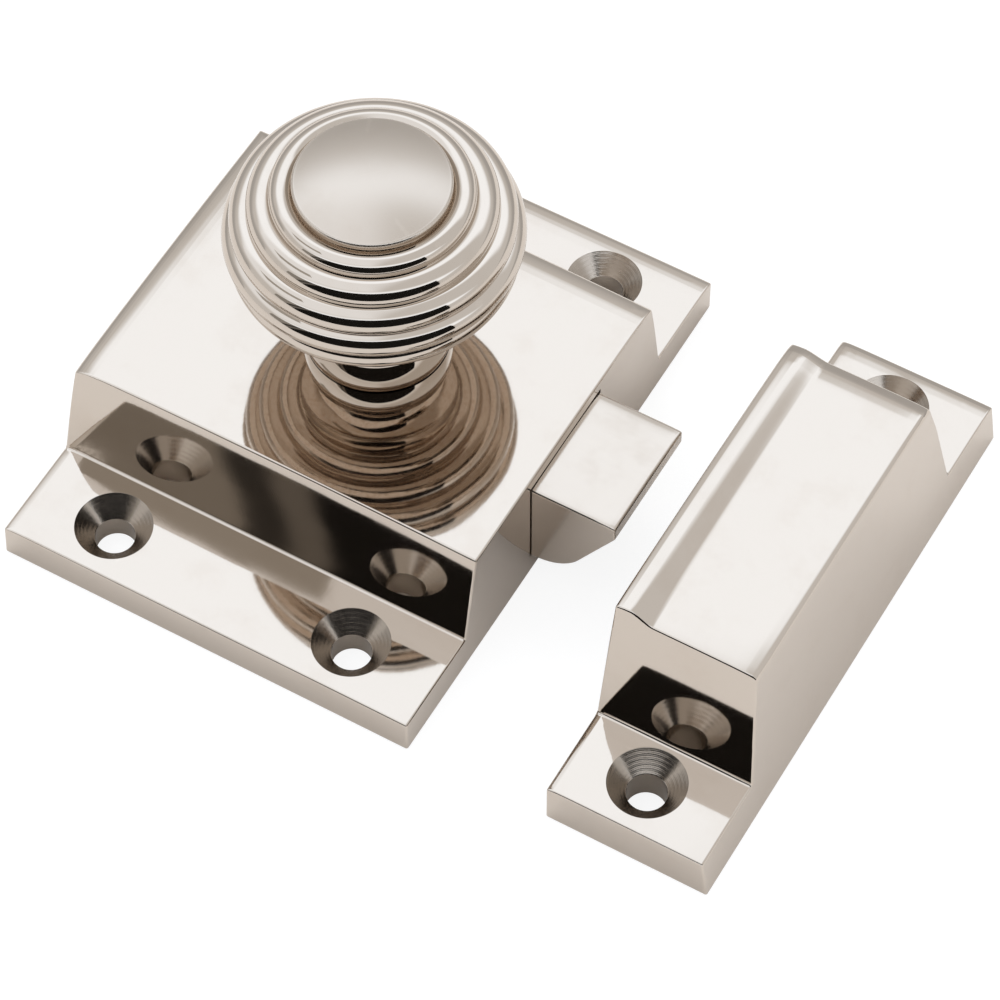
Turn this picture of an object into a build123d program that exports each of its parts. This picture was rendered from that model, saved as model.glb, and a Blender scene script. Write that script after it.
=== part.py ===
from build123d import *
import os
from math import asin, cos, degrees, radians, sin, tan

# A cupboard catch and its keeper, lying on their backs, in millimetres.
# X runs along the bolt towards the keeper, Y along the case, Z away from the door.
# The origin is on the back of the case, on the bolt's centre line, level with the knob.

os.makedirs("parts", exist_ok=True)

# Case
case_length = 63.5
case_width = 48.0
case_height = 16.6
case_flange = 4.6
case_block_foot = 40.2
case_block_top = 35.7
case_side_lean = 5.7
knob_offset_x = 1.6
knob_offset_y = 0.9
wall_left = 3.7
wall_right = 3.0
roof = 1.8
cavity_length = 28.6
cavity_corner = 1.5
soft_edge = 1.1
crisp_edge = 0.3

# Fixing holes for number 8 countersunk wood screws
fixing_hole = 4.2
fixing_head = 8.1
fixing_angle = 90
fixing_spacing_x = 28.2
fixing_spacing_y = 52.0

# Bolt
bolt_width = 14.0
bolt_reach = 9.6
bolt_travel = 8.5
bolt_tip = 1.95
bolt_bevel = 59.0
bolt_belly = 6.0
tail_thickness = 4.4
tail_bar = 2.4
tail_runner = 1.2
tail_clearance = 0.15
slot_clearance = 0.2
window_clearance = 0.35

# Knob, turned in one piece with its neck and collar
knob_radius = 14.25
knob_half_height = 8.5
knob_centre_above_case = 17.0
knob_reeds = 7
knob_first_reed = 2.55
knob_reed = 2.9
knob_reed_bulge = 0.66
knob_dome_radius = 7.95
knob_dome_sink = 0.35
knob_dome_step = 1.3
knob_dome_rise = 1.3
knob_dome_edge = 0.35
knob_neck_radius = 4.9
knob_collar_radius = 7.7
knob_collar_height = 4.6
knob_collar_bulge = 0.25
knob_collar_edge = 0.8
knob_turn = 70.0

# Spindle and what it carries
spindle_radius = 3.0
spindle_square = 4.2
spindle_in_knob = 16.0
spindle_tail_radius = 2.0
spindle_groove_radius = 1.55
spindle_tail_end = 0.95
spindle_end_gap = 0.25
bearing_boss_radius = 5.4
bearing_boss_length = 4.0
cam_hub_radius = 3.9
cam_thickness = 3.9
cam_start = 0.5
cam_flank_steps = 8
clip_radius = 3.4
clip_thickness = 0.6
clip_slot = 2.6
spacer_radius = 3.8
stop_radius = 1.5
stop_place_y = 9.0
follower_width = 3.4

# Spring and its guide pin
spring_wire = 0.8
spring_radius = 3.0
spring_turns = 6.5
spring_seat_depth = 0.8
guide_radius = 2.2
guide_reach = 4.6
guide_sunk = 1.8

# Back cover and its screws
cover_thickness = 1.2
cover_length = 38.4
cover_ledge = 1.4
cover_corner = 2.0
cover_screw_shank = 1.25
cover_screw_head = 2.2
cover_screw_length = 5.0
cover_screw_edge = 2.7
cover_screw_spacing = 30.0
cover_screw_slot_width = 0.5
cover_screw_slot_depth = 0.45

# Keeper
keeper_gap = 15.8
keeper_width = 18.0
keeper_length = 63.0
keeper_height = 20.2
keeper_flange = 5.5
keeper_block_foot = 42.5
keeper_block_top = 36.3
keeper_side_lean = 7.0
keeper_lip_rise = 0.8
keeper_lip_width = 2.2
keeper_lip_slope = 1.1
keeper_hole_place = 8.3
keeper_wall_left = 3.2
keeper_wall_right = 4.4
keeper_pocket_length = 27.0
keeper_mouth_side_clearance = 1.2
keeper_mouth_clearance = 0.6

# Clearances
running_fit = 0.05
axial_gap = 0.1
follower_gap = 0.05
snug_fit = 0.02

# Places worked out from the sizes above
case_left = -case_width / 2 - knob_offset_x
case_right = case_left + case_width
case_middle = case_left + case_width / 2
cavity_left = case_left + wall_left
cavity_right = case_right - wall_right
cavity_roof = case_height - roof
cavity_half = cavity_length / 2
bearing_bottom = cavity_roof - bearing_boss_length

spindle_bottom = cover_thickness + spindle_end_gap
clip_bottom = spindle_bottom + spindle_tail_end
clip_top = clip_bottom + clip_thickness
cam_bottom = clip_top + axial_gap
cam_top = cam_bottom + cam_thickness
tail_middle = (cam_bottom + cam_top) / 2
bolt_bottom = tail_middle - tail_thickness / 2
bolt_top = cavity_roof - tail_clearance
spacer_top = bearing_bottom - axial_gap
collar_bottom = case_height + axial_gap
knob_centre = case_height + knob_centre_above_case
spindle_top = collar_bottom + spindle_in_knob

# The knob's turn and the bolt's travel fix the base circle of the cam's involute flank:
# its push on a flat follower then moves the bolt by the same step for each degree.
cam_base_radius = bolt_travel / radians(knob_turn)
cam_end = cam_start + bolt_travel
stop_place_x = cam_hub_radius + follower_gap + stop_radius


def on_axis(level):
    """Give the level plane whose origin is on the knob's axis."""
    return Plane(origin=(0, knob_offset_y, level))


def turned(x, y, angle):
    """Turn a point about the knob's axis."""
    return x * cos(angle) - y * sin(angle), x * sin(angle) + y * cos(angle)


def flank_point(push):
    """Give the point of the cam's flank that pushes when the follower stands at -push."""
    return turned(-push, cam_base_radius, -(push - cam_start) / cam_base_radius)


cam_tip_x, cam_tip_y = flank_point(cam_end)
cam_swing = (cam_hub_radius**2 + cam_tip_y**2) ** 0.5

follower_face = -(cam_start + follower_gap)
window_left = -(cam_hub_radius + window_clearance)
window_right = stop_place_x + stop_radius + bolt_travel + window_clearance
window_far = cam_swing + window_clearance
window_near = -(cam_hub_radius + window_clearance)
tail_left = window_left - tail_bar
tail_half = cavity_half - tail_clearance
bolt_shoulder = cavity_right - axial_gap
bolt_end = case_right + bolt_reach
nose_back = window_right + tail_clearance

cover_middle = (cavity_left + cavity_right) / 2
cover_width = cavity_right - cavity_left + 2 * cover_ledge
cover_screw_spacing_y = cover_length - 2 * cover_screw_edge

keeper_left = case_right + keeper_gap
keeper_right = keeper_left + keeper_width
keeper_lip_top = keeper_height + keeper_lip_rise
keeper_pocket_roof = bolt_top + keeper_mouth_clearance


def block_outline(length, foot, top, flange, height):
    """Give the side outline of a block that stands on two flanges."""
    return [
        (-length / 2, 0),
        (length / 2, 0),
        (length / 2, flange),
        (foot / 2, flange),
        (top / 2, height),
        (-top / 2, height),
        (-foot / 2, flange),
        (-length / 2, flange),
    ]


def above(level):
    """Make a test for edges that lie higher than a level all along."""
    return lambda edge: edge.bounding_box().min.Z > level


def far_tops(foot, flange):
    """Make a test for the far top edges of a block and its flange, but not the crease between."""
    return lambda edge: (
        abs(edge.tangent_at(0.5).X) > 0.5
        and edge.center().Y > 0
        and edge.center().Z > flange / 2
        and edge.center().Y + edge.center().Z > foot / 2 + 2 * flange
    )


# Case: the outline runs right across, the left side leans in, left and far edges are rounded
with BuildPart() as case:
    with BuildSketch(Plane.YZ.offset(case_left)):
        with BuildLine():
            Polyline(
                *block_outline(case_length, case_block_foot, case_block_top, case_flange, case_height),
                close=True,
            )
        make_face()
    extrude(amount=case_width)
    split(
        bisect_by=Plane(
            origin=(case_left, 0, 0),
            x_dir=(0, 1, 0),
            z_dir=(cos(radians(case_side_lean)), 0, -sin(radians(case_side_lean))),
        ),
        keep=Keep.TOP,
    )
    fillet(case.edges().filter_by(far_tops(case_block_foot, case_flange)), radius=soft_edge)
    case_left_edges = case.faces().sort_by(Axis.X)[0].edges().filter_by(above(case_flange / 2))
    fillet(case_left_edges, radius=soft_edge)

    # Hollow back with a ledge for the cover
    with BuildSketch(Plane.XY):
        with Locations((cover_middle, 0)):
            RectangleRounded(cavity_right - cavity_left, cavity_length, cavity_corner)
    extrude(amount=cavity_roof, mode=Mode.SUBTRACT)
    with BuildSketch(Plane.XY):
        with Locations((cover_middle, 0)):
            RectangleRounded(cover_width, cover_length, cover_corner)
    extrude(amount=cover_thickness, mode=Mode.SUBTRACT)

    # Bearing for the spindle and the stop that the cam rests against
    with BuildSketch(on_axis(bearing_bottom)):
        Circle(bearing_boss_radius)
    extrude(amount=bearing_boss_length)
    with BuildSketch(on_axis(cam_bottom)):
        with Locations((stop_place_x, stop_place_y)):
            Circle(stop_radius)
    extrude(amount=cavity_roof - cam_bottom)
    with Locations((0, knob_offset_y, case_height)):
        Hole(spindle_radius + running_fit, depth=case_height - bearing_bottom)

    # Slot for the bolt's nose, level with the roof of the hollow
    with BuildSketch(Plane.YZ.offset(cavity_right)):
        with Locations((0, cavity_roof)):
            Rectangle(
                bolt_width + 2 * slot_clearance,
                cavity_roof - bolt_bottom + slot_clearance,
                align=(Align.CENTER, Align.MAX),
            )
    extrude(amount=wall_right, mode=Mode.SUBTRACT)

    # Seat for the spring
    with BuildSketch(Plane.YZ.offset(cavity_left)):
        with Locations((0, tail_middle)):
            Circle(spring_radius + spring_wire)
    extrude(amount=-spring_seat_depth, mode=Mode.SUBTRACT)

    # Fixing holes in the flanges, and the cover's screw holes in the ledge
    with Locations((case_middle, 0, case_flange)):
        with GridLocations(fixing_spacing_x, fixing_spacing_y, 2, 2):
            CounterSinkHole(
                fixing_hole / 2,
                fixing_head / 2,
                depth=case_flange,
                counter_sink_angle=fixing_angle,
            )
    with BuildSketch(Plane.XY.offset(cover_thickness)):
        with Locations((cover_middle, 0)):
            with GridLocations(cover_screw_spacing, cover_screw_spacing_y, 2, 2):
                Circle(cover_screw_shank + snug_fit)
    extrude(amount=cover_screw_length, mode=Mode.SUBTRACT)

case.part.label = "case"
export_step(case.part, "parts/case.step")


# Back cover, let in flush with the back of the case
with BuildPart() as back_cover:
    with BuildSketch(Plane.XY):
        with Locations((cover_middle, 0)):
            RectangleRounded(cover_width - 2 * axial_gap, cover_length - 2 * axial_gap, cover_corner)
    extrude(amount=cover_thickness)
    with Locations(Location((cover_middle, 0, 0), (180, 0, 0))):
        with GridLocations(cover_screw_spacing, cover_screw_spacing_y, 2, 2):
            CounterSinkHole(
                cover_screw_shank + snug_fit,
                cover_screw_head + snug_fit,
                depth=cover_thickness,
                counter_sink_angle=fixing_angle,
            )

back_cover.part.label = "back_cover"
export_step(back_cover.part, "parts/back_cover.step")


# The cover's four slotted countersunk screws, heads flush with the back
with BuildPart() as cover_screws:
    with Locations((cover_middle, 0, 0)):
        with GridLocations(cover_screw_spacing, cover_screw_spacing_y, 2, 2):
            Cone(
                cover_screw_head,
                cover_screw_shank,
                cover_screw_head - cover_screw_shank,
                align=(Align.CENTER, Align.CENTER, Align.MIN),
            )
            Cylinder(
                cover_screw_shank,
                cover_screw_length,
                align=(Align.CENTER, Align.CENTER, Align.MIN),
            )
            Box(
                2 * cover_screw_head,
                cover_screw_slot_width,
                cover_screw_slot_depth,
                align=(Align.CENTER, Align.CENTER, Align.MIN),
                mode=Mode.SUBTRACT,
            )

cover_screws.part.label = "cover_screws"
export_step(cover_screws.part, "parts/cover_screws.step")


# Knob: reeds lie between circles spaced round a flattened ball, under a domed end
def knob_circle(angle):
    """Give radius and height of the flattened ball at an angle from its top."""
    return (
        knob_radius * sin(radians(angle)),
        knob_centre + knob_half_height * cos(radians(angle)),
    )


def reed_end(angle, width):
    """Give the angle at which a reed of some width ends, if it starts at an angle."""
    for part in range(2):
        middle = angle if part == 0 else (angle + end) / 2
        across = knob_radius * cos(radians(middle))
        along = knob_half_height * sin(radians(middle))
        end = angle + degrees(width / (across**2 + along**2) ** 0.5)
    return end


def reed_crest(angle):
    """Give the top of the reed whose middle lies at an angle from the ball's top."""
    across = sin(radians(angle)) / knob_radius
    along = cos(radians(angle)) / knob_half_height
    scale = knob_reed_bulge / (across**2 + along**2) ** 0.5
    radius, height = knob_circle(angle)
    return radius + across * scale, height + along * scale


def rounded_rim(radius, height, size):
    """Give start, middle and end of the arc that rounds a turned rim's upper corner."""
    middle = size * (1 - cos(radians(45)))
    return (
        (radius, height - size),
        (radius - middle, height - middle),
        (radius - size, height),
    )


dome_angle = degrees(asin(knob_dome_radius / knob_radius))
reed_angles = [dome_angle, reed_end(dome_angle, knob_first_reed)]
while len(reed_angles) <= knob_reeds:
    reed_angles.append(reed_end(reed_angles[-1], knob_reed))
dome_foot = knob_circle(dome_angle)[1] - knob_dome_sink
dome_rim = dome_foot + knob_dome_step
dome_flat = knob_dome_radius - knob_dome_edge
dome_top = dome_rim + knob_dome_rise
dome_ball = (dome_flat**2 + knob_dome_rise**2) / (2 * knob_dome_rise)
neck_top = knob_circle(reed_angles[-1])
collar_top = collar_bottom + knob_collar_height
collar_foot_radius = knob_collar_radius - knob_collar_bulge

with BuildPart() as knob:
    with BuildSketch(Plane(origin=(0, knob_offset_y, 0), x_dir=(1, 0, 0), z_dir=(0, -1, 0))):
        with BuildLine():
            Line((0, collar_bottom), (collar_foot_radius, collar_bottom))
            ThreePointArc(
                (collar_foot_radius, collar_bottom),
                (knob_collar_radius, (collar_bottom + collar_top - knob_collar_edge) / 2),
                (collar_foot_radius, collar_top - knob_collar_edge),
            )
            ThreePointArc(*rounded_rim(collar_foot_radius, collar_top, knob_collar_edge))
            ThreePointArc(
                (collar_foot_radius - knob_collar_edge, collar_top),
                (knob_neck_radius, (collar_top + neck_top[1]) / 2),
                neck_top,
            )
            for lower, upper in zip(reed_angles[:1:-1], reed_angles[-2:0:-1]):
                ThreePointArc(
                    knob_circle(lower),
                    reed_crest((lower + upper) / 2),
                    knob_circle(upper),
                )
            ThreePointArc(
                knob_circle(reed_angles[1]),
                reed_crest((reed_angles[0] + reed_angles[1]) / 2),
                (knob_dome_radius, dome_foot),
            )
            Line((knob_dome_radius, dome_foot), (knob_dome_radius, dome_rim - knob_dome_edge))
            ThreePointArc(*rounded_rim(knob_dome_radius, dome_rim, knob_dome_edge))
            ThreePointArc(
                (dome_flat, dome_rim),
                (dome_flat / 2, dome_top - dome_ball + (dome_ball**2 - dome_flat**2 / 4) ** 0.5),
                (0, dome_top),
            )
            Line((0, dome_top), (0, collar_bottom))
        make_face()
    revolve(axis=Axis((0, knob_offset_y, 0), (0, 0, 1)))
    with BuildSketch(on_axis(collar_bottom)):
        Circle(spindle_radius + snug_fit)
    extrude(amount=spindle_in_knob + axial_gap, mode=Mode.SUBTRACT)

knob.part.label = "knob"
export_step(knob.part, "parts/knob.step")


# Spindle: round in the knob and the bearing, square in the cam, grooved below it for the clip
with BuildPart() as spindle:
    with BuildSketch(on_axis(cam_top)):
        Circle(spindle_radius)
    extrude(amount=spindle_top - cam_top)
    with BuildSketch(on_axis(cam_bottom)):
        Rectangle(spindle_square, spindle_square)
    extrude(amount=cam_thickness)
    with BuildSketch(on_axis(spindle_bottom)):
        Circle(spindle_tail_radius)
    extrude(amount=cam_bottom - spindle_bottom)
    with BuildSketch(on_axis(clip_bottom - running_fit)):
        Circle(spindle_tail_radius)
        Circle(spindle_groove_radius, mode=Mode.SUBTRACT)
    extrude(amount=clip_thickness + 2 * running_fit, mode=Mode.SUBTRACT)

spindle.part.label = "spindle"
export_step(spindle.part, "parts/spindle.step")


# Spacer between the bearing and the cam
with BuildPart() as spacer:
    with BuildSketch(on_axis(cam_top)):
        Circle(spacer_radius)
        Circle(spindle_radius + snug_fit, mode=Mode.SUBTRACT)
    extrude(amount=spacer_top - cam_top)

spacer.part.label = "spacer"
export_step(spacer.part, "parts/spacer.step")


# Cam: a hub with one lobe, whose flank is the involute of the base circle
flank_points = [
    flank_point(cam_start + bolt_travel * step / cam_flank_steps)
    for step in range(cam_flank_steps + 1)
]

with BuildPart() as cam:
    with BuildSketch(on_axis(cam_bottom)):
        with BuildLine():
            Line((-cam_start, 0), flank_points[0])
            Spline(*flank_points)
            Line(flank_points[-1], (cam_hub_radius, cam_tip_y))
            Line((cam_hub_radius, cam_tip_y), (cam_hub_radius, 0))
            Line((cam_hub_radius, 0), (-cam_start, 0))
        make_face()
        Circle(cam_hub_radius)
        Rectangle(
            spindle_square + 2 * snug_fit,
            spindle_square + 2 * snug_fit,
            mode=Mode.SUBTRACT,
        )
    extrude(amount=cam_thickness)

cam.part.label = "cam"
export_step(cam.part, "parts/cam.step")


# Open clip that holds the cam on the spindle
with BuildPart() as cam_clip:
    with BuildSketch(on_axis(clip_bottom)):
        Circle(clip_radius)
        Circle(spindle_groove_radius + snug_fit, mode=Mode.SUBTRACT)
        with Locations((clip_radius / 2, 0)):
            Rectangle(clip_radius, clip_slot, mode=Mode.SUBTRACT)
    extrude(amount=clip_thickness)

cam_clip.part.label = "cam_clip"
export_step(cam_clip.part, "parts/cam_clip.step")


# Bolt: nose with a bevelled, rounded underside, and a tail plate with a window round the cam
with BuildPart() as bolt:
    with BuildSketch(Plane.XZ) as nose:
        with BuildLine():
            Polyline(
                (nose_back, bolt_bottom),
                (
                    bolt_end - (bolt_top - bolt_tip - bolt_bottom) / tan(radians(bolt_bevel)),
                    bolt_bottom,
                ),
                (bolt_end, bolt_top - bolt_tip),
                (bolt_end, bolt_top),
                (nose_back, bolt_top),
                close=True,
            )
        make_face()
        fillet(nose.vertices().group_by(Axis.Y)[0].sort_by(Axis.X)[-1], radius=bolt_belly)
    extrude(amount=bolt_width / 2, both=True)
    with BuildSketch(Plane.XY.offset(bolt_bottom)):
        with Locations(((tail_left + bolt_shoulder) / 2, 0)):
            RectangleRounded(bolt_shoulder - tail_left, 2 * tail_half, cavity_corner)
    extrude(amount=tail_thickness)
    with BuildSketch(on_axis(bolt_bottom)):
        with Locations(((window_left + window_right) / 2, (window_near + window_far) / 2)):
            Rectangle(window_right - window_left, window_far - window_near)
        with Locations(((window_left + follower_face) / 2, cam_base_radius)):
            Rectangle(follower_face - window_left, follower_width, mode=Mode.SUBTRACT)
    extrude(amount=tail_thickness, mode=Mode.SUBTRACT)
    with BuildSketch(Plane.YZ.offset(tail_left)):
        with Locations((0, tail_middle)):
            Circle(guide_radius + snug_fit)
    extrude(amount=guide_sunk, mode=Mode.SUBTRACT)

    # Runners that slide on the back cover
    with BuildSketch(Plane.XY.offset(cover_thickness + axial_gap)):
        with Locations((tail_left + cavity_corner, 0)):
            with GridLocations(0, 2 * tail_half - tail_runner, 1, 2):
                Rectangle(
                    nose_back - tail_left - cavity_corner,
                    tail_runner,
                    align=(Align.MIN, Align.CENTER),
                )
    extrude(amount=bolt_bottom - cover_thickness - axial_gap)

bolt.part.label = "bolt"
export_step(bolt.part, "parts/bolt.step")


# Pin that keeps the spring in line
with BuildPart() as spring_guide:
    with BuildSketch(Plane.YZ.offset(tail_left - guide_reach)):
        with Locations((0, tail_middle)):
            Circle(guide_radius)
    extrude(amount=guide_reach + guide_sunk)
    chamfer(spring_guide.faces().sort_by(Axis.X)[0].edges(), length=crisp_edge)

spring_guide.part.label = "spring_guide"
export_step(spring_guide.part, "parts/spring_guide.step")


# Spring, from its seat in the case to the bolt's tail
spring_start = cavity_left - spring_seat_depth + spring_wire / 2 + running_fit
spring_length = tail_left - running_fit - spring_wire / 2 - spring_start

with BuildPart() as bolt_spring:
    with BuildLine() as coil:
        Helix(
            spring_length / spring_turns,
            spring_length,
            spring_radius,
            center=(spring_start, 0, tail_middle),
            direction=(1, 0, 0),
        )
    with BuildSketch(Plane(origin=coil.line @ 0, z_dir=coil.line % 0)):
        Circle(spring_wire / 2)
    sweep(path=coil.line, is_frenet=True)

bolt_spring.part.label = "bolt_spring"
export_step(bolt_spring.part, "parts/bolt_spring.step")


# Keeper: the far side leans in, and a lip for the bolt stands up along the near one
with BuildPart() as keeper:
    with BuildSketch(Plane.YZ.offset(keeper_left)):
        with BuildLine():
            Polyline(
                *block_outline(
                    keeper_length,
                    keeper_block_foot,
                    keeper_block_top,
                    keeper_flange,
                    keeper_lip_top,
                ),
                close=True,
            )
        make_face()
    extrude(amount=keeper_width)
    split(
        bisect_by=Plane(
            origin=(keeper_right, 0, 0),
            x_dir=(0, 1, 0),
            z_dir=(-cos(radians(keeper_side_lean)), 0, -sin(radians(keeper_side_lean))),
        ),
        keep=Keep.TOP,
    )
    with BuildSketch(Plane.XZ):
        with BuildLine():
            Polyline(
                (keeper_left + keeper_lip_width, keeper_lip_top),
                (keeper_left + keeper_lip_width + keeper_lip_slope, keeper_height),
                (keeper_right, keeper_height),
                (keeper_right, keeper_lip_top),
                close=True,
            )
        make_face()
    extrude(amount=keeper_length / 2, both=True, mode=Mode.SUBTRACT)
    fillet(keeper.edges().filter_by(far_tops(keeper_block_foot, keeper_flange)), radius=soft_edge)
    keeper_left_edges = keeper.faces().sort_by(Axis.X)[0].edges().filter_by(above(keeper_flange / 2))
    fillet(keeper_left_edges, radius=soft_edge)

    # Pocket behind the mouth, both open at the back
    with BuildSketch(Plane.XY):
        with Locations(((keeper_left + keeper_wall_left + keeper_right - keeper_wall_right) / 2, 0)):
            Rectangle(keeper_width - keeper_wall_left - keeper_wall_right, keeper_pocket_length)
        with Locations((keeper_left + keeper_wall_left / 2, 0)):
            Rectangle(keeper_wall_left, bolt_width + 2 * keeper_mouth_side_clearance)
    extrude(amount=keeper_pocket_roof, mode=Mode.SUBTRACT)

    with Locations((keeper_left + keeper_hole_place, 0, keeper_flange)):
        with GridLocations(0, fixing_spacing_y, 1, 2):
            CounterSinkHole(
                fixing_hole / 2,
                fixing_head / 2,
                depth=keeper_flange,
                counter_sink_angle=fixing_angle,
            )

keeper.part.label = "keeper"
export_step(keeper.part, "parts/keeper.step")
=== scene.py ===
"""Looks of a cupboard catch and its keeper, in polished nickel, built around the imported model.

Sizes are in millimetres. Each mesh is built in millimetres and turned to metres when it is
finished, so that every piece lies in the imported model's own frame.
"""

import logging
from collections.abc import Callable, Iterable, Sequence
from dataclasses import dataclass, field
from enum import Enum
from math import asin, atan2, cos, degrees, exp, hypot, pi, radians, sin, tan

import bmesh
import bpy
from mathutils import Matrix, Quaternion, Vector


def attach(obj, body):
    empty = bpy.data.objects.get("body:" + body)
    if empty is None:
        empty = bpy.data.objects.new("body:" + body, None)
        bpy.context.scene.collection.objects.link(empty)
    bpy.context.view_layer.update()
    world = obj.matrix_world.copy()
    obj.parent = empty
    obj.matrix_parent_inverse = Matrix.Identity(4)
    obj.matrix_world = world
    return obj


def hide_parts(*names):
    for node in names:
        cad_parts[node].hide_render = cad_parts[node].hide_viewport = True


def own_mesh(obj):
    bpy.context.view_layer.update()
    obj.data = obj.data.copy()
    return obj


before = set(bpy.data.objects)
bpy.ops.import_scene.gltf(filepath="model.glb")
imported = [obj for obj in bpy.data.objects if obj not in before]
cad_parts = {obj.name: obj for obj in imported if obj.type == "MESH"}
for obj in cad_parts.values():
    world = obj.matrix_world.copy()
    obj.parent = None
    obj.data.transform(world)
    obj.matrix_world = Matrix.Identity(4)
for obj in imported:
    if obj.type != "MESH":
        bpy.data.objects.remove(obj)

LOG = logging.getLogger("catch")
MM = 0.001
Point2 = tuple[float, float]
Point3 = tuple[float, float, float]
Colour = tuple[float, float, float]
FINE_CUTS = (0.3, 0.55, 0.8, 1.1, 1.4, 1.8, 2.2, 2.8, 3.5, 4.5)
KEEPER_CUTS = (0.35, 0.65, 1.0, 1.4, 1.9, 2.5, 3.3)
NOSE_CUTS = (0.3, 0.6, 0.9, 1.3, 1.8, 2.6, 3.8, 5.2, 7.0)
CLOUD_SCALE = 160.0
DULL_PATCHES = (0.45, 0.75)
WORN_EDGES = (0.52, 0.62)
WORN_BRIGHTER = 1.06
SMOOTHEST = 0.015
HAZE_RISE = 0.0009


# Node trees


class NodeGraph:
    """A node tree that is built by short calls."""

    def __init__(self, tree: bpy.types.NodeTree) -> None:
        """Start on an empty tree.

        Args:
            tree: The tree to fill. Its nodes are removed first.
        """
        self.tree = tree
        tree.nodes.clear()

    def add(self, kind: str, inputs: dict | None = None, **settings: object) -> bpy.types.Node:
        """Add a node.

        Args:
            kind: The node's type name.
            inputs: Values or output sockets by input name or number.
            settings: Properties of the node, set before its inputs.

        Returns:
            The new node.
        """
        node = self.tree.nodes.new(kind)
        for name, value in settings.items():
            setattr(node, name, value)
        for key, value in (inputs or {}).items():
            self.feed(node.inputs[key], value)
        return node

    def feed(self, socket: bpy.types.NodeSocket, value: object) -> None:
        """Link an output to a socket, or set the socket's own value.

        Args:
            socket: The socket to feed.
            value: An output socket or a plain value.
        """
        if isinstance(value, bpy.types.NodeSocket):
            self.tree.links.new(value, socket)
        else:
            socket.default_value = value

    def math(self, operation: str, *values: object, clamp: bool = False) -> bpy.types.NodeSocket:
        """Add a Math node.

        Args:
            operation: The Math node's operation.
            values: Its values in order.
            clamp: Whether the result is held between 0 and 1.

        Returns:
            The result socket.
        """
        node = self.add("ShaderNodeMath", dict(enumerate(values)), operation=operation)
        node.use_clamp = clamp
        return node.outputs[0]

    def vector(self, operation: str, *values: object) -> bpy.types.Node:
        """Add a Vector Math node.

        Args:
            operation: The node's operation.
            values: Its inputs in order.

        Returns:
            The node.
        """
        return self.add("ShaderNodeVectorMath", dict(enumerate(values)), operation=operation)

    def smooth(self, value: object, low: float, high: float) -> bpy.types.NodeSocket:
        """Add a smooth step.

        Args:
            value: The socket to map.
            low: The value that gives 0.
            high: The value that gives 1. It may lie under low, which turns the step round.

        Returns:
            The result socket, from 0 to 1.
        """
        node = self.add(
            "ShaderNodeMapRange",
            {0: value, 1: low, 2: high, 3: 0.0, 4: 1.0},
            interpolation_type="SMOOTHERSTEP",
        )
        return node.outputs[0]

    def between(self, value: object, low: Point2, high: Point2) -> bpy.types.NodeSocket:
        """Add a band with soft edges.

        Args:
            value: The socket to map.
            low: Where the band starts to rise and is full.
            high: Where the band starts to fall and has gone.

        Returns:
            The result socket, from 0 to 1.
        """
        rise = self.smooth(value, *low)
        fall = self.smooth(value, high[1], high[0])
        return self.math("MULTIPLY", rise, fall)

    def blend(self, factor: object, first: object, second: object) -> bpy.types.NodeSocket:
        """Mix two colours.

        Args:
            factor: The share of the second colour.
            first: A colour or a socket.
            second: A colour or a socket.

        Returns:
            The mixed colour's socket.
        """
        node = self.add("ShaderNodeMix", data_type="RGBA")
        for key, value in ((0, factor), (6, first), (7, second)):
            if isinstance(value, tuple) and len(value) == 3:
                value = (*value, 1.0)
            self.feed(node.inputs[key], value)
        return node.outputs[2]


# Finishes


class Grain(Enum):
    """How a metal surface was finished."""

    BUFFED = "buffed"
    BRUSHED = "brushed"
    TURNED = "turned"
    CAST = "cast"


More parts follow.
